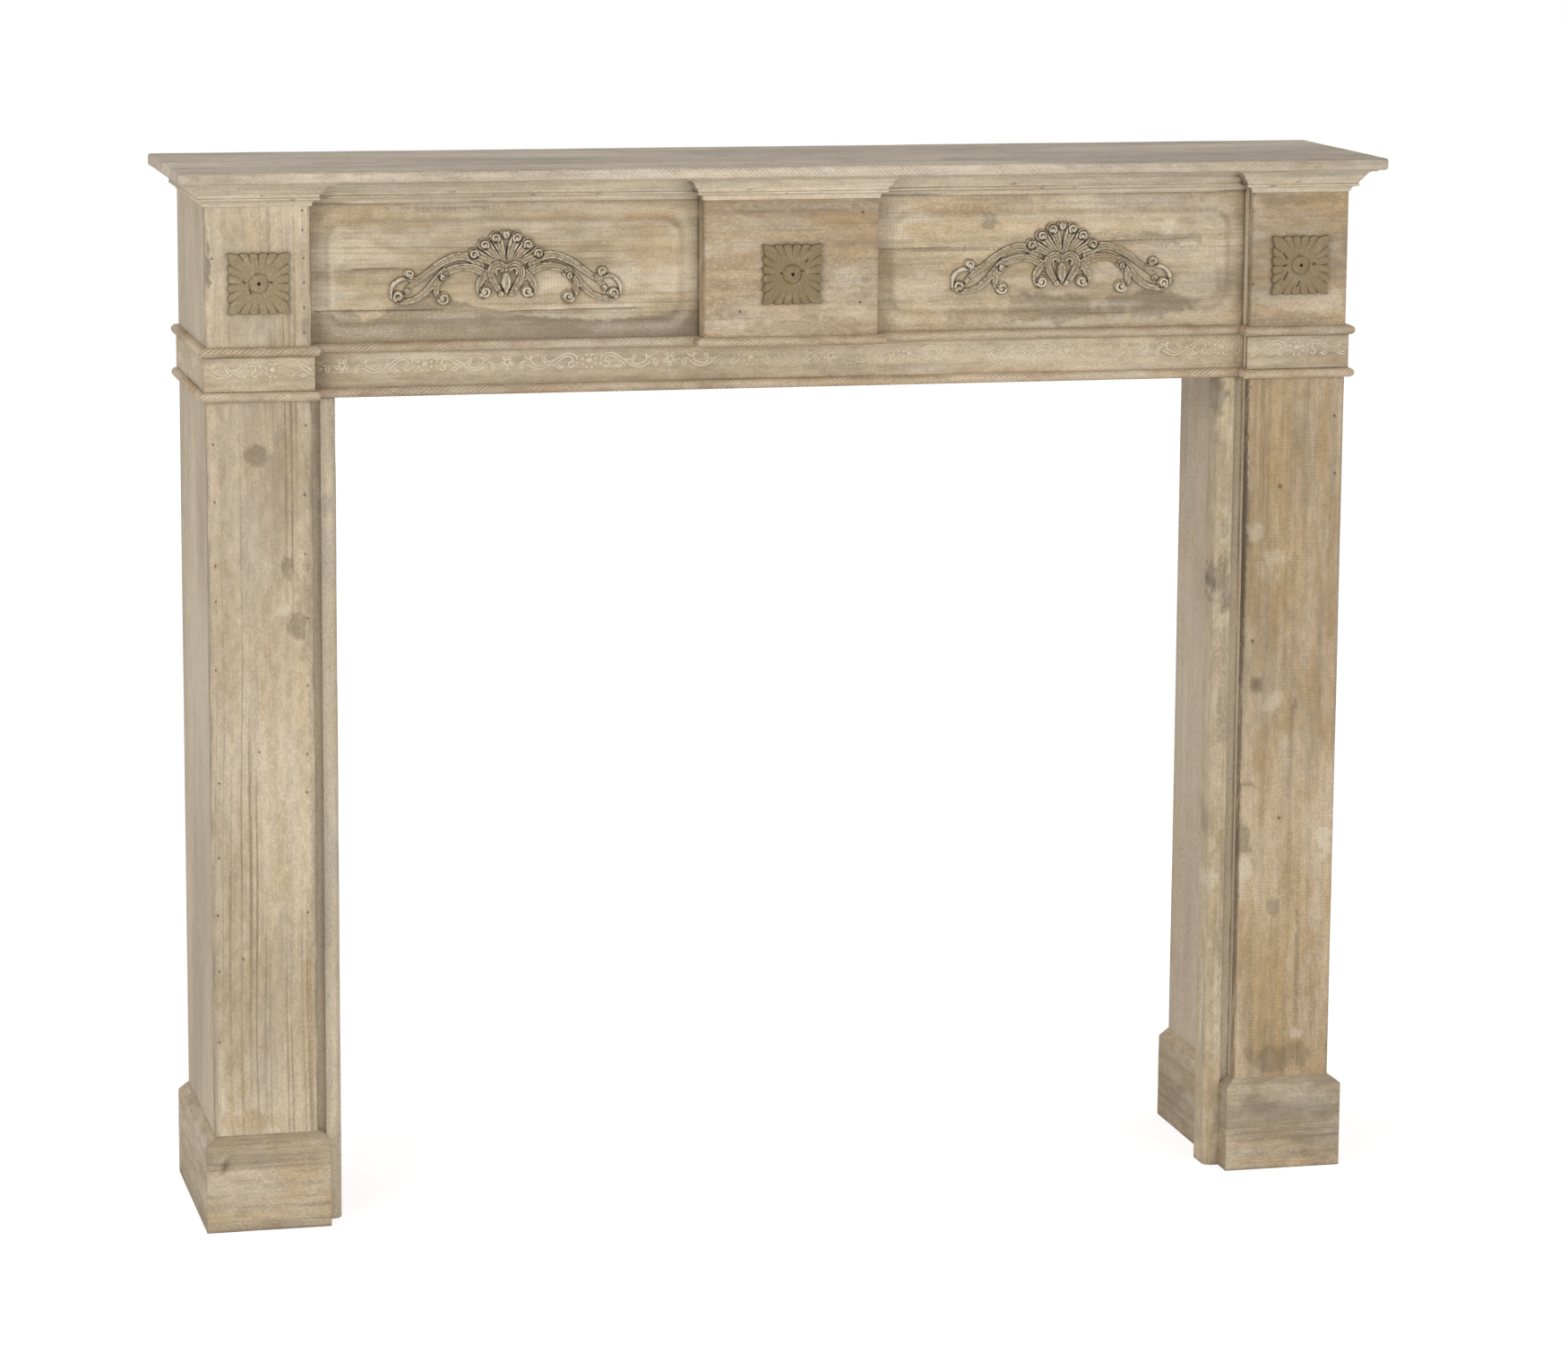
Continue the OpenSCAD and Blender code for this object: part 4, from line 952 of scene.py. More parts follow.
# One S-scroll of the band, to the right of a flower at the origin
HALF_SCROLL = [smooth_line(c, 0.8) for c in (
    [(13.0, 4.7), (17.0, 7.1), (21.5, 9.0), (25.9, 9.2), (30.3, 7.4), (34.8, 4.6), (39.2, 1.9),
     (42.2, -0.7), (45.9, -3.6), (50.3, -6.2), (56.2, -7.9), (61.4, -7.3), (66.6, -5.0), (71.8, -2.1)],
    [(16.1, -3.7), (20.0, -7.1), (23.3, -4.6), (22.2, -1.4), (18.9, 0.4), (20.0, 4.5), (24.4, 5.9),
     (28.9, 5.0), (32.2, 2.4), (35.5, -0.4), (38.5, -2.2), (42.2, -5.4)],
    [(40.7, 2.2), (45.1, 0.3), (48.8, 1.6), (51.1, 3.9), (50.5, 7.3)],
    [(52.9, 7.3), (53.8, 4.1), (52.4, 1.3), (49.6, -1.5), (52.5, -4.1), (57.0, -5.0), (60.7, -3.4),
     (64.8, -1.5), (66.7, 1.5), (66.2, 4.4), (62.9, 7.0)],
    [(65.1, 7.9), (67.7, 4.9), (69.0, 3.3), (71.0, 4.0), (73.9, 6.7)],
    [(71.8, 1.4), (75.5, 0.9), (78.1, -0.8), (79.4, -3.5), (78.4, -6.4), (76.2, -7.4)],
    [(74.4, -0.9), (76.2, -3.4), (75.8, -6.3)],
    [(28.5, -5.4), (31.2, -6.2), (34.0, -4.3), (35.7, -2.4)],
    [(30.3, -6.6), (33.4, -7.7), (37.0, -6.1), (38.1, -3.7)],
    [(12.6, 5.4), (14.2, 4.0), (13.6, 1.3)],
    [(13.0, -0.3), (13.6, -2.9), (14.2, -4.7)])]
# The pattern's length, and how far its middle lies above the band's
BAND_PERIOD, BAND_CENTRE = 188.0, 4.5
BAND_MID_Z = (BAND_Z + UPPER_ROPE_Z) / 2 + BAND_CENTRE


def band_pattern():
    """One whole period, from one flower's middle to the next: strokes, and dots as (x, z, radius)."""
    strokes, dots = list(HALF_SCROLL), []
    strokes += [(BAND_PERIOD, 0) - curve * (1, -1) for curve in HALF_SCROLL]
    for k in range(8):
        a = math.radians(22.5 + 45 * k)
        dots.append((8.0 * math.cos(a), 7.6 * math.sin(a), 1.75))
    strokes += [smooth_line([(-3.5, 1.6 - n), (0, 2.2 - 1.4 * n), (3.5, 3 - 1.8 * n)]) for n in range(3)]
    mid = BAND_PERIOD / 2
    for k in range(5):
        a = math.radians(54 + 72 * k)
        x, z = mid + 5.6 * math.cos(a), 0.5 + 5.8 * math.sin(a)
        ring = [(x + 1.9 * math.cos(t), z + 1.9 * math.sin(t)) for t in np.linspace(0, 2 * math.pi, 12)]
        strokes.append(smooth_line(ring, 0.8))
    eye = [(mid + 3.0 * math.cos(t), 0.5 + 3.4 * math.sin(t)) for t in np.linspace(0, 2 * math.pi, 14)]
    strokes.append(smooth_line(eye))
    return strokes, dots


BAND_STROKES, BAND_DOTS = band_pattern()


def bead(curve, half, height):
    """A low round bead along a plane curve: points (s, z, lift) and quads."""
    d = np.gradient(curve, axis=0)
    d /= np.maximum(np.linalg.norm(d, axis=1, keepdims=True), 1e-9)
    side = np.stack([-d[:, 1], d[:, 0]], 1)
    n = len(curve)
    taper = np.minimum(1, 0.6 + np.minimum(np.arange(n), np.arange(n)[::-1]) * 0.25)[:, None]
    rows = [(-1, -0.25), (-0.6, 0.75), (0, 1), (0.6, 0.75), (1, -0.25)]
    pts = np.stack([np.concatenate([curve + side * half * o * taper, np.full((n, 1), h * height)], 1)
                    for o, h in rows], 1)
    i, k = np.meshgrid(np.arange(n - 1), np.arange(4), indexing="ij")
    quads = np.stack([i * 5 + k, i * 5 + k + 1, (i + 1) * 5 + k + 1, (i + 1) * 5 + k], -1).reshape(-1, 4)
    return pts.reshape(-1, 3), quads


def dome(x, z, r, height):
    """A round dot: points (s, z, lift) and triangles."""
    a = np.linspace(0, 2 * math.pi, 8, endpoint=False)
    rows = [np.stack([x + k * r * np.cos(a), z + k * r * np.sin(a), 0 * a + h * height], 1)
            for k, h in ((0.6, 0.85), (1, -0.25))]
    i = np.arange(8)
    j = (i + 1) % 8
    inner = np.stack([0 * i, 1 + i, 1 + j], -1)
    outer = np.concatenate([np.stack([1 + i, 9 + i, 9 + j], -1), np.stack([1 + i, 9 + j, 1 + j], -1)])
    return np.concatenate([[(x, z, height)], *rows]), np.concatenate([inner, outer])


def relief_band(flower_x, x0, x1, y, seed):
    """The pattern's raised strokes between x0 and x1 on the plane y, with a flower at flower_x."""
    verts, quads, tris, total = [], [], [], 0
    first = math.floor((x0 - flower_x) / BAND_PERIOD) - 1
    for period in range(first, first + int((x1 - x0) / BAND_PERIOD) + 4):
        at = flower_x + period * BAND_PERIOD
        for curve in BAND_STROKES:
            c = curve + (at, 0)
            c = c[(c[:, 0] > x0 + 1) & (c[:, 0] < x1 - 1)]
            if len(c) > 2:
                pts, f = bead(c, 0.95, 0.7)
                verts.append(pts)
                quads.append(f + total)
                total += len(pts)
        for x, z, r in BAND_DOTS:
            if x0 + r + 0.5 < at + x < x1 - r - 0.5:
                pts, f = dome(at + x, z, r, 0.65)
                verts.append(pts)
                tris.append(f + total)
                total += len(pts)
    pts = np.concatenate(verts)
    keep = fbm(pts * (1, 1, 0), 9, seed)
    lift = np.where(pts[:, 2] > 0, pts[:, 2] * (0.6 + 0.6 * keep), pts[:, 2])
    worn = 0.6 + 0.4 * step01(fbm(pts * (1, 1, 0), 26, seed + 3), 0.3, 0.6)
    v = np.stack([pts[:, 0], y - lift, BAND_MID_Z + pts[:, 1]], -1)
    tone = np.zeros((len(v), 4))
    # Pale on the raised strokes, worn lime and a painted highlight, and dark along their feet, painted shade
    # where they meet the board
    tone[:, LIME_AND_LIGHT] = np.where(pts[:, 2] > 0, worn, 0.15)
    tone[:, DIRT_AND_SHADE] = np.where(pts[:, 2] > 0, 0, 0.25)
    return v, [np.concatenate(quads), np.concatenate(tris)], tone


def band_strip(side, i, node, flower_x=None):
    """A strip on a leg: i is 0 on its side and 1 on its front. flower_x is the middle of a flower."""
    t, h, e = BAND_T, UPPER_ROPE_Z - BAND_Z, 0.6
    face = [(t, z) for z in np.linspace(4, h - 4, 6)]
    profile = [(0, 0), (t - e, 0), (t, e)] + face + [(t, h - e), (t - e, h), (0, h)]
    a, b = LEFT_BEND[i], LEFT_BEND[i + 1]
    if i == 0:
        ends = (0, 1)
    else:
        b, ends = (b[0] + BAND_T, b[1]), (1, 0)
    v, f, w, _ = sweep(a, b, *ends, profile, BAND_Z, 8, settle(0.25, 30, 800 + len(pieces)))
    if side == "right":
        v, f = mirrored(v, f)
    tone = np.zeros((len(v), 4))
    tone[:, DIRT_AND_SHADE] = 0.35 * ((v[:, 2] < BAND_Z + 1) | (v[:, 2] > UPPER_ROPE_Z - 1)) * fbm(v, 25, 810)
    tone[:, BROWN] = 0.3 * step01(fbm(v, (50, 50, 9), 820 + i), 0.55, 0.75)
    if flower_x is not None:
        lo, hi = box(node)
        rv, rf, rt = relief_band(flower_x, lo[0] + 2, hi[0] - 2, lo[1] + 0.12, 830)
        f = list(f) + [part + len(v) for part in rf]
        w = np.concatenate([w, rv[:, [0, 2, 1]]])
        tone = np.concatenate([tone, rt])
        v = np.concatenate([v, rv])
    make("moulded_" + node, v, f, "band_pine", [node], w, tone, angle=50)


band_strip("left", 0, "band_left_side")
band_strip("left", 1, "band_left_front", flower_x=-593)
band_strip("right", 1, "band_right_front", flower_x=606)
band_strip("right", 0, "band_right_side")
rv, rf, rt = relief_band(-418, -LEG_IN + 9, LEG_IN - 2, FRIEZE_Y + 0.12, 850)
make("lintel_scrolls", rv, rf, "band_pine", ["lintel_band"], rv[:, [0, 2, 1]], rt, angle=60)

# ---- Rosettes ----
# Gouges as (x0, z0, x1, z1, half width) from the rosette's middle
GOUGES = {"left": [(-17, 2.5, -15, 0.5, 1.0), (13, 1.5, 15, 0.8, 0.9), (-10, -7, -8.5, -11, 0.9)],
          "centre": [(-13.5, 2, -12, 0.5, 1.0), (15.5, 14, 17.5, 16, 1.0), (11, 3.8, 13, 3.2, 0.9)],
          "right": [(-21, 13.5, -16.5, 8, 0.9), (-21, -0.5, -17.5, 0.5, 0.8), (-16, -8, -20, -16.5, 0.9),
                    (-1.5, -19, -4.5, -25, 0.9), (15, 1, 17.5, 1.5, 1.2)]}


def rosette(name):
    """A square patera: leaves radiate from a round boss to a rim of four lobes and a corner leaf a side."""
    lo, hi = box("rosette_" + name)
    half, thick = (hi[0] - lo[0]) / 2, hi[1] - lo[1]
    centre = (lo + hi) / 2
    na, rings, boss = 288, 44, 0.31
    a = np.linspace(0, 2 * math.pi, na, endpoint=False)[None, :]
    inner, outer = np.linspace(0, boss - 0.01, 11), np.linspace(boss + 0.02, 0.975, rings - 13)
    s = np.concatenate([inner, outer, [1.0, 1.0]])[:, None]
    fold = np.mod(a + math.pi / 4, math.pi / 2) - math.pi / 4
    phase = (np.tan(fold) + 1) / 2 * 6
    lobe = np.where(phase > 5, np.cos(math.pi / 2 * (6 - phase)), np.abs(np.sin(math.pi * phase)))
    lobe = np.where(phase < 1, np.cos(math.pi / 2 * phase), lobe)
    rim = (half - 2.9 * (1 - lobe ** 0.7)) / np.maximum(np.abs(np.cos(a)), np.abs(np.sin(a)))
    blend = step01(s, boss, 0.6)
    r = s * (blend * rim + (1 - blend) * half * 0.95)
    nearest = np.abs(phase - np.clip(np.round(phase), 1, 5)) * half / 3 * s
    cut = np.exp(-((nearest / 0.7) ** 2)) * (0.4 * step01(s, 0.45, 0.8) + 0.6 * step01(s, 0.8, 0.97))
    bulge = (lobe ** 0.8) * step01(s, 0.45, 0.8)
    vein = 0.5 + 0.5 * np.cos(2 * math.pi * phase * 4)
    arch = np.sin(math.pi * np.clip((s - 0.24) / 0.95, 0, 1)) ** 0.7
    vein = vein * step01(s, 0.36, 0.5) * step01(1.0 - s, 0, 0.1)
    leaves = thick * (0.38 + 0.34 * arch) + 0.9 * bulge - 0.9 * cut - 0.14 * vein
    t = s / boss
    petal = (0.5 + 0.5 * np.cos(5 * a + 0.6)) * step01(t, 0.3, 0.7) * step01(1 - t, 0, 0.25)
    middle = thick * (0.74 + 0.20 * np.cos(math.pi / 2 * np.clip(t, 0, 1))) - 0.8 * petal
    ring_cut = np.exp(-(((s - boss) / 0.03) ** 2)) * (0.55 + 0.45 * np.cos(a * 3 + 1))
    h = np.where(s < boss, middle, leaves) - 1.2 * ring_cut
    hole = np.hypot(s * half * np.cos(a), s * half * np.sin(a))
    h = h - thick * 0.5 * (1 - step01(hole, 1.0, 2.2))
    grain = np.stack([(r * np.cos(a)).ravel(), (r * np.sin(a)).ravel(), 0 * r.ravel()], -1)
    h = h + 0.9 * (fbm(grain, 6, 900).reshape(r.shape) - 0.5)
    h = np.clip(h, 0.4, thick - 0.02)
    h[-2] = np.minimum(h[-2], thick * 0.42)
    h[-1] = 0
    x, z = r * np.cos(a), r * np.sin(a)
    v = np.stack([x + centre[0], hi[1] - h, z + centre[2]], -1).reshape(-1, 3)
    n = len(s)
    i, k = np.meshgrid(np.arange(1, n - 1), np.arange(na), indexing="ij")
    k2 = (k + 1) % na
    quads = np.stack([(i + 1) * na + k, (i + 1) * na + k2, i * na + k2, i * na + k], -1).reshape(-1, 4)
    fan = np.stack([0 * k2[0], na + k2[0], na + k[0]], -1)[:, ::-1]
    back = ((n - 1) * na + np.arange(na))[None, ::-1]
    number, grey = {"left": (1, 0.35), "centre": (2, 0.0), "right": (3, 0.1)}[name]
    tone = np.zeros((len(v), 4))
    # Dark along the cuts between the leaves, in the ring round the boss and along the rim's foot: painted
    # shade with grime; the middle hole is dark too
    tone[:, DIRT_AND_SHADE] = np.clip(0.28 * np.exp(-((nearest / 0.55) ** 2)) * step01(s, 0.5, 0.9) + 0.1 * ring_cut
                            + 1.0 * (1 - step01(hole, 1.6, 3.0)) + 0.35 * step01(s, 0.955, 1.0), 0, 1).ravel()
    tone[:, LIME_AND_LIGHT] = 0.12 * step01(fbm(v, 7, 910 + number), 0.55, 0.8)
    tone[:, GREY] = grey
    for x0, z0, x1, z1, wide in GOUGES[name]:
        dx, dz = x1 - x0, z1 - z0
        px, pz = v[:, 0] - centre[0] - x0, v[:, 2] - centre[2] - z0
        at = np.clip((px * dx + pz * dz) / (dx * dx + dz * dz), 0, 1)
        away = np.hypot(px - at * dx, pz - at * dz) / wide
        deepen(tone, DIRT_AND_SHADE, 0.9 * (1 - step01(away, 0.5, 1.6)))
        v[:, 1] += 1.3 * (1 - step01(away, 0.4, 1.5)) * (h.ravel() > 2.5)
    v, tone, faces = used_only(v, tone, [quads, fan, back])
    make("leaf_rosette_" + name, v, faces, "carving_wood", ["rosette_" + name], v[:, [2, 0, 1]], tone,
         angle=40)


for name in ("left", "centre", "right"):
    rosette(name)

# ---- Shell onlays: half a relief drawn as strokes on a grid of cells, and mirrored ----
CELL = 0.6
ONLAY_LO, ONLAY_HI = box("shell_onlay_right")
ONLAY_W, ONLAY_T, ONLAY_H = ONLAY_HI - ONLAY_LO


class Relief:
    """Heights over one half of the onlay, x from 0 to its end and z from 0 to its top."""

    def __init__(self):
        self.nx, self.nz = int(ONLAY_W / 2 / CELL) + 1, int(ONLAY_H / CELL) + 1
        self.x, self.z = np.meshgrid(np.arange(self.nx) * CELL, np.arange(self.nz) * CELL, indexing="ij")
        self.h = np.zeros((self.nx, self.nz))

    def stroke(self, points, r0, r1, h0, h1, kind="round", spacing=0.8):
        """kind is round, or leaf or flute for a hollow form between two raised rims."""
        line = smooth_line(points, spacing)
        n = len(line)
        near = np.full(self.h.shape, 9.0)
        tall = np.zeros(self.h.shape)
        for i, (cx, cz) in enumerate(line):
            t = i / (n - 1)
            r, top = r0 + (r1 - r0) * t, h0 + (h1 - h0) * t
            i0, i1 = max(0, int((cx - r) / CELL)), min(self.nx, int((cx + r) / CELL) + 2)
            k0, k1 = max(0, int((cz - r) / CELL)), min(self.nz, int((cz + r) / CELL) + 2)
            if i0 >= i1 or k0 >= k1:
                continue
            d = np.hypot(self.x[i0:i1, k0:k1] - cx, self.z[i0:i1, k0:k1] - cz) / r
            closer = d < near[i0:i1, k0:k1]
            near[i0:i1, k0:k1][closer] = d[closer]
            tall[i0:i1, k0:k1][closer] = top
        inside = near < 1
        s = np.clip(near, 0, 1)
        if kind == "round":
            shape = np.sqrt(np.clip(1 - s**2, 0, 1))
        else:
            rim = np.exp(-(((s - 0.74) / 0.21) ** 2)) + 0.2 * np.exp(-((s / 0.2) ** 2))
            shape = (0.50 + 0.50 * rim) * np.sqrt(np.clip(1 - s**8, 0, 1))
        self.h = np.where(inside, np.maximum(tall * (0.25 + 0.75 * shape), self.h * 0.55), self.h)

    def curl(self, cx, cz, r, turn, start, height):
        """A volute: a disc with a spiral ridge and a knob in its eye."""
        disc, low = r * 1.05, height * 0.62
        self.stroke([(cx - 0.2, cz), (cx + 0.2, cz)], disc, disc, low, low, "round", 0.2)
        ridge = []
        for t in np.linspace(0, 1, 18):
            reach, angle = r * (0.80 - 0.50 * t), math.radians(start + turn * 400 * t)
            ridge.append((cx + reach * math.cos(angle), cz + reach * math.sin(angle)))
        wide = max(0.9, r * 0.24)
        near = np.full(self.h.shape, 9.0)
        for px, pz in smooth_line(ridge, 0.5):
            near = np.minimum(near, np.hypot(self.x - px, self.z - pz) / wide)
        self.swell(near, height, 0.62)
        self.swell(np.hypot(self.x - cx, self.z - cz) / (r * 0.27), height, 0.7)

    def swell(self, away, height, foot):
        """Raises a round form to height where away, the distance over its half width, is under 1."""
        form = height * (foot + (1 - foot) * np.sqrt(np.clip(1 - away**2, 0, 1)))
        self.h = np.where(away < 1, np.maximum(self.h, form), self.h)


# Strokes as (points, half width at start and end, height at start and end, kind, spacing), and curls as
# (x, z, radius, turn, start angle, height); heights are shares of the onlay's thickness
ONLAY = [
    # Upper strand of the arm, with its small curl
    ([(30, 47), (40, 54.5), (52, 57), (64, 54), (77, 47.5), (89, 39), (99, 32), (108, 31)],
     5.0, 3.2, 0.78, 0.66, "leaf"),
    # Strand running on to the end volute
    ([(70, 40), (80, 30), (90, 19), (101, 10.5), (112, 7), (121, 6.5)], 4.4, 3.0, 0.72, 0.62, "leaf"),
    ([(112, 33), (121, 31.5), (128, 26.5), (131.2, 19), (129.5, 11), (123, 6)], 2.6, 2.2, 0.7, 0.7),
    ([(101, 30), (109, 24), (113, 20.5)], 3.2, 2.4, 0.6, 0.6, "leaf"),
    (113, 18.5, 3.6, 1, 90, 0.7),
    (110.5, 37.5, 5.8, -1, 250, 0.74),
    (122.8, 12.5, 6.6, 1, 300, 0.8),
    # Lower strand of the arm, and the curl that hangs from it
    ([(20, 33), (28, 39), (38, 43.5), (50, 44.5), (62, 42), (71, 36.5), (76, 29)],
     4.8, 4.0, 0.8, 0.7, "leaf"),
    ([(68, 36), (76, 31), (79.5, 24), (79.5, 15), (75, 8)], 4.0, 3.0, 0.7, 0.66, "leaf"),
    (71.5, 9.5, 7.4, -1, 340, 0.78),
    (73, 33, 4.0, 1, 60, 0.84),
    # Shell: flutes from the side inwards, each with a curled tip
    (0, 81.2, 6.2, 1, 60, 0.86),
    ([(1.6, 47), (4.6, 59), (8.6, 70), (12.2, 77.2)], 2.0, 7.0, 0.72, 0.84, "flute", 0.5),
    ([(4, 47), (12, 56), (19, 64), (24.6, 69.6)], 2.4, 7.4, 0.72, 0.84, "flute", 0.5),
    ([(8, 45), (18, 50.5), (28, 55.5), (36.6, 59.2)], 2.8, 7.0, 0.72, 0.84, "flute", 0.5),
    # Leaf curl beside the heart
    ([(20, 38), (26, 33), (30.5, 26), (31, 18), (27, 11)], 4.2, 3.0, 0.8, 0.7, "leaf"),
    (24.2, 16.4, 7.0, -1, 330, 0.86),
    # Heart: two round lobes that taper to small curls, with an almond leaf between
    ([(3, 43), (9.5, 46.5), (16, 42.5), (17.2, 35), (14, 26.5), (9.5, 19.5), (7, 15.5)],
     5.4, 2.8, 0.92, 0.8, "leaf", 0.5),
    ([(3.5, 41), (8.5, 43.2), (12, 40.0), (11.5, 35.5)], 1.5, 1.3, 0.99, 0.9),
    ([(0, 36), (2.2, 30), (2.6, 24), (0, 16)], 3.4, 2.2, 0.84, 0.74),
    ([(0, 37.5), (0, 27), (0, 17)], 1.0, 0.9, 0.97, 0.82),
    (5.8, 13.9, 3.5, -1, 120, 0.84),
]


def draw_onlay():
    g = Relief()
    for form in ONLAY:
        if not isinstance(form[0], list):
            g.curl(*form[:-1], form[-1] * ONLAY_T)
            continue
        points, r0, r1, h0, h1, *rest = form
        g.stroke(points, r0, r1, h0 * ONLAY_T, h1 * ONLAY_T, *rest)
        if "flute" in rest:
            (ax, az), (bx, bz) = points[-2:]
            angle = math.degrees(math.atan2(bz - az, bx - ax)) + 170
            g.curl(bx + 0.2, bz - 0.4, 5.9, -1, angle, 0.96 * ONLAY_T)
    return g


def blurred(h, radius):
    """Heights blurred over radius cells."""
    n = int(radius * 3)
    kernel = np.exp(-((np.arange(-n, n + 1) / radius) ** 2))
    kernel /= kernel.sum()
    for axis in (0, 1):
        h = np.apply_along_axis(lambda row: np.convolve(np.pad(row, n, "edge"), kernel, "valid"), axis, h)
    return h


def onlay(side, half):
    """The relief with wear, grime and painted shade in its grooves and a painted highlight on its ridges,
    closed along its outline by a flat back.
    """
    lo, hi = box("shell_onlay_" + side)
    centre = (lo[0] + hi[0]) / 2
    h = np.concatenate([half.h[:0:-1], half.h])
    nx, nz = h.shape
    mask = h > 0.05
    h = np.where(mask, blurred(h, 0.75), 0)
    x = (np.arange(nx) - (nx // 2)) * CELL
    z = np.arange(nz) * CELL
    px, pz = np.meshgrid(x, z, indexing="ij")
    p = np.stack([px.ravel() + centre, 0 * px.ravel(), pz.ravel() + lo[2]], -1)
    worn = fbm(p, 4, 950 + (side == "left"), 4).reshape(h.shape)
    # Grooves, where the relief lies below its blurred self, are darkened as grime and painted shade; ridges,
    # where it stands above, are lifted pale as wear and a painted highlight
    shade_and_dirt = np.clip((blurred(h, 2.4) - h) / 1.1 - 0.08, 0, 1)
    ridge = np.clip((h - blurred(h, 2.6)) / 0.6, 0, 1)
    h = np.clip(h - 0.7 * (worn - 0.4) * mask, 0, ONLAY_T - 0.02)
    h[~mask] = 0
    cells = mask[:-1, :-1] | mask[1:, :-1] | mask[:-1, 1:] | mask[1:, 1:]
    i, k = np.nonzero(cells)
    top = np.stack([i * nz + k, (i + 1) * nz + k, (i + 1) * nz + k + 1, i * nz + k + 1], -1)
    total = nx * nz
    inner = np.zeros((nx, nz), bool)
    inner[1:-1, 1:-1] = cells[:-1, :-1] & cells[1:, :-1] & cells[:-1, 1:] & cells[1:, 1:]
    touched = np.zeros((nx, nz), bool)
    for a in (0, 1):
        for b in (0, 1):
            touched[a:nx - 1 + a, b:nz - 1 + b] |= cells
    border = touched & ~inner
    h[border] = 0
    back_id = np.where(border.ravel(), np.arange(total), np.arange(total) + total)
    back = back_id[top][:, ::-1]
    v = np.stack([px.ravel() + centre, hi[1] - h.ravel(), pz.ravel() + lo[2]], -1)
    flat = v.copy()
    flat[:, 1] = hi[1]
    v = np.concatenate([v, flat])
    tone = np.zeros((len(v), 4))
    grime = fbm(p, 2.2, 955, 3).reshape(h.shape)
    # Dark in the grooves, painted shade with grime, plus grime mottling; pale on the ridges, a painted
    # highlight with wear
    tone[:total, DIRT_AND_SHADE] = (shade_and_dirt * 1.9 + 0.35 * mask * step01(grime, 0.58, 0.78)).ravel()
    tone[:total, LIME_AND_LIGHT] = (1.5 * ridge * step01(worn, 0.3, 0.55)).ravel()
    if side == "right":
        tone[:total, BROWN] = spot_mask(p, (centre + 52, 0, lo[2] + 44), (20, 0, 7), 960)
    tone[:, GREY] = 1
    for pin_x, pin_z in ((-66, 35), (-75, 21), (-124, 13), (66, 37), (75, 27)):
        away = np.hypot(v[:, 0] - centre - pin_x, v[:, 2] - lo[2] - pin_z)
        deepen(tone, DIRT_AND_SHADE, 1 - step01(away, 0.9, 2.2))
    v, tone, faces = used_only(v, tone, [top, back])
    make("shell_carving_" + side, v, faces, "carving_wood", ["shell_onlay_" + side], v[:, [0, 2, 1]], tone,
         angle=60)


half = draw_onlay()
onlay("left", half)
onlay("right", half)

# ---- Floor, light and camera ----
FLOOR_SIZE = 30
# The floor's grey and glow as the camera sees them, and its grey for all other rays
FLOOR_GREY, FLOOR_GLOW, FLOOR_BOUNCE = 0.40, 0.76, 0.8
# Strength of the white world for light, and as the camera sees it
AMBIENT, BACKDROP = 0.68, 1.0
bpy.ops.mesh.primitive_plane_add(size=FLOOR_SIZE, location=(0, 0, 0))
floor = bpy.context.object
floor.name = "floor"


def floor_material():
    """The camera sees the floor lifted to near white, with the object's shadow; light sees it plain."""
    m = bpy.data.materials.new("pale_floor")
    m.use_nodes = True
    nodes, links = m.node_tree.nodes, m.node_tree.links
    nodes.clear()
    out = nodes.new("ShaderNodeOutputMaterial")
    seen, unseen = nodes.new("ShaderNodeBsdfDiffuse"), nodes.new("ShaderNodeBsdfDiffuse")
    seen.inputs[0].default_value = (FLOOR_GREY, FLOOR_GREY, FLOOR_GREY, 1)
    unseen.inputs[0].default_value = (FLOOR_BOUNCE, FLOOR_BOUNCE, FLOOR_BOUNCE, 1)
    glow = nodes.new("ShaderNodeEmission")
    glow.inputs[1].default_value = FLOOR_GLOW
    add, mix = nodes.new("ShaderNodeAddShader"), nodes.new("ShaderNodeMixShader")
    path = nodes.new("ShaderNodeLightPath")
    links.new(seen.outputs[0], add.inputs[0])
    links.new(glow.outputs[0], add.inputs[1])
    links.new(path.outputs["Is Camera Ray"], mix.inputs[0])
    links.new(unseen.outputs[0], mix.inputs[1])
    links.new(add.outputs[0], mix.inputs[2])
    links.new(mix.outputs[0], out.inputs[0])
    return m


floor.data.materials.append(floor_material())

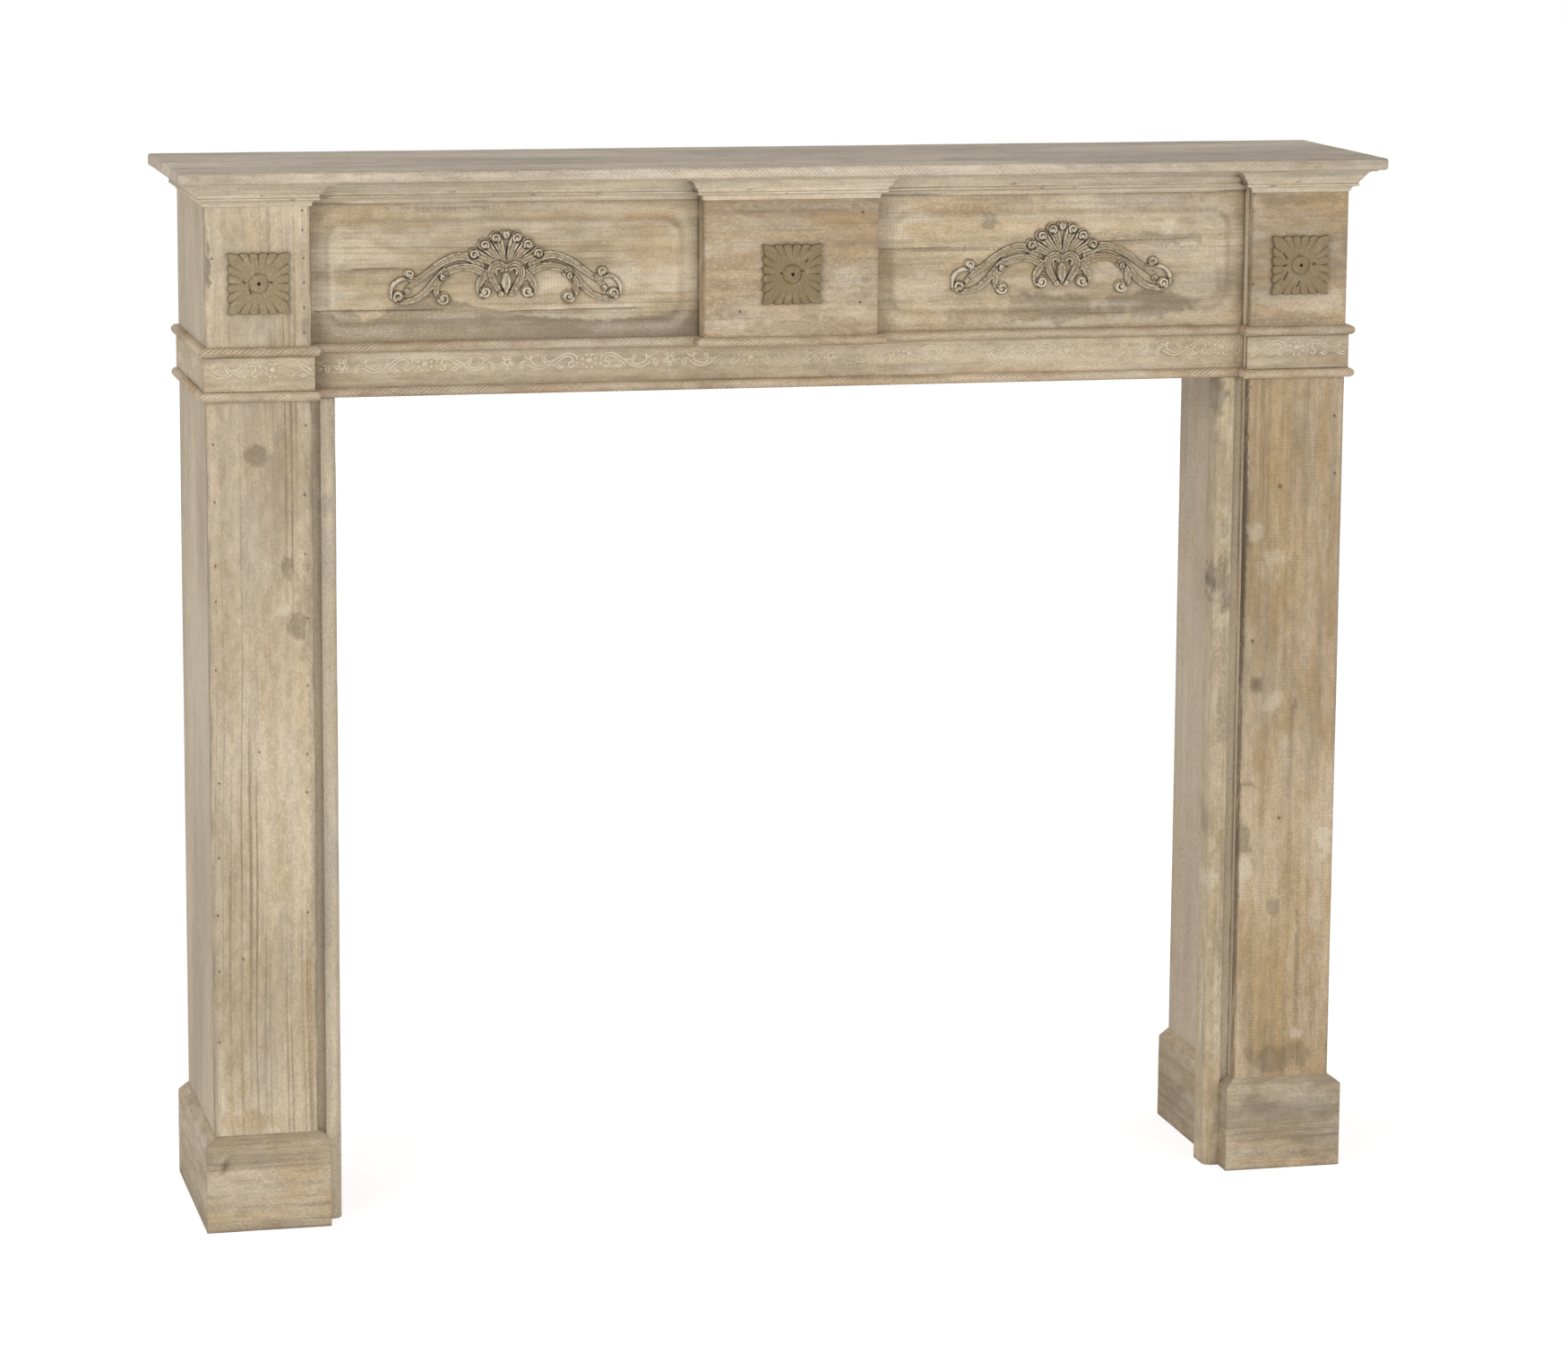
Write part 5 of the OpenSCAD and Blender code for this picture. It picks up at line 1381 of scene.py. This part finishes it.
world = bpy.data.worlds.new("studio")
bpy.context.scene.world = world
world.use_nodes = True
wn, wl = world.node_tree.nodes, world.node_tree.links
wn.clear()
w_out, w_mix = wn.new("ShaderNodeOutputWorld"), wn.new("ShaderNodeMixShader")
ambient, white = wn.new("ShaderNodeBackground"), wn.new("ShaderNodeBackground")
w_path = wn.new("ShaderNodeLightPath")
for background, strength in ((ambient, AMBIENT), (white, BACKDROP)):
    background.inputs[0].default_value = (1, 1, 1, 1)
    background.inputs[1].default_value = strength
wl.new(w_path.outputs["Is Camera Ray"], w_mix.inputs[0])
wl.new(ambient.outputs[0], w_mix.inputs[1])
wl.new(white.outputs[0], w_mix.inputs[2])
wl.new(w_mix.outputs[0], w_out.inputs[0])


def area_light(name, location, target, size, power):
    data = bpy.data.lights.new(name, "AREA")
    data.shape = "DISK"
    data.size = size
    data.energy = power
    lamp = bpy.data.objects.new(name, data)
    lamp.location = location
    lamp.rotation_mode = "QUATERNION"
    lamp.rotation_quaternion = (Vector(target) - Vector(location)).to_track_quat("-Z", "Y")
    bpy.context.scene.collection.objects.link(lamp)


area_light("key", (-3.7, -3.8, 2.1), (0, 0, 0.7), size=2.6, power=104)
area_light("fill", (2.7, -4.9, 1.0), (0, 0, 0.9), size=2.6, power=66)

# The camera is fitted to the photo's view of the shelf's, blocks' and plinths' corners. Its focal length
# is in pixels of the frame's width; angles are in degrees.
FRAME_W, SENSOR_W = 1750, 36.0
FOCAL_PX, YAW, PITCH, ROLL, SHIFT = 5642.31, 13.664, 9.519, -0.380, 0.05
CAMERA_AT = (-1.35794, -5.66501, 1.65860)
cam_data = bpy.data.cameras.new("camera")
cam_data.sensor_width = SENSOR_W
cam_data.lens = FOCAL_PX / FRAME_W * SENSOR_W
cam_data.shift_y = -SHIFT
cam_data.clip_end = 100
cam = bpy.data.objects.new("camera", cam_data)
bpy.context.scene.collection.objects.link(cam)
yaw, pitch, roll = (math.radians(v) for v in (YAW, PITCH, ROLL))
forward = Vector((math.sin(yaw) * math.cos(pitch), math.cos(yaw) * math.cos(pitch), -math.sin(pitch)))
right = Vector((math.cos(yaw), -math.sin(yaw), 0))
down = forward.cross(right)
right, down = right * math.cos(roll) + down * math.sin(roll), down * math.cos(roll) - right * math.sin(roll)
cam.matrix_world = Matrix.Translation(CAMERA_AT) @ Matrix((right, -down, -forward)).transposed().to_4x4()
bpy.context.scene.camera = cam
bpy.context.scene.view_settings.view_transform = "Standard"

bpy.context.view_layer.update()
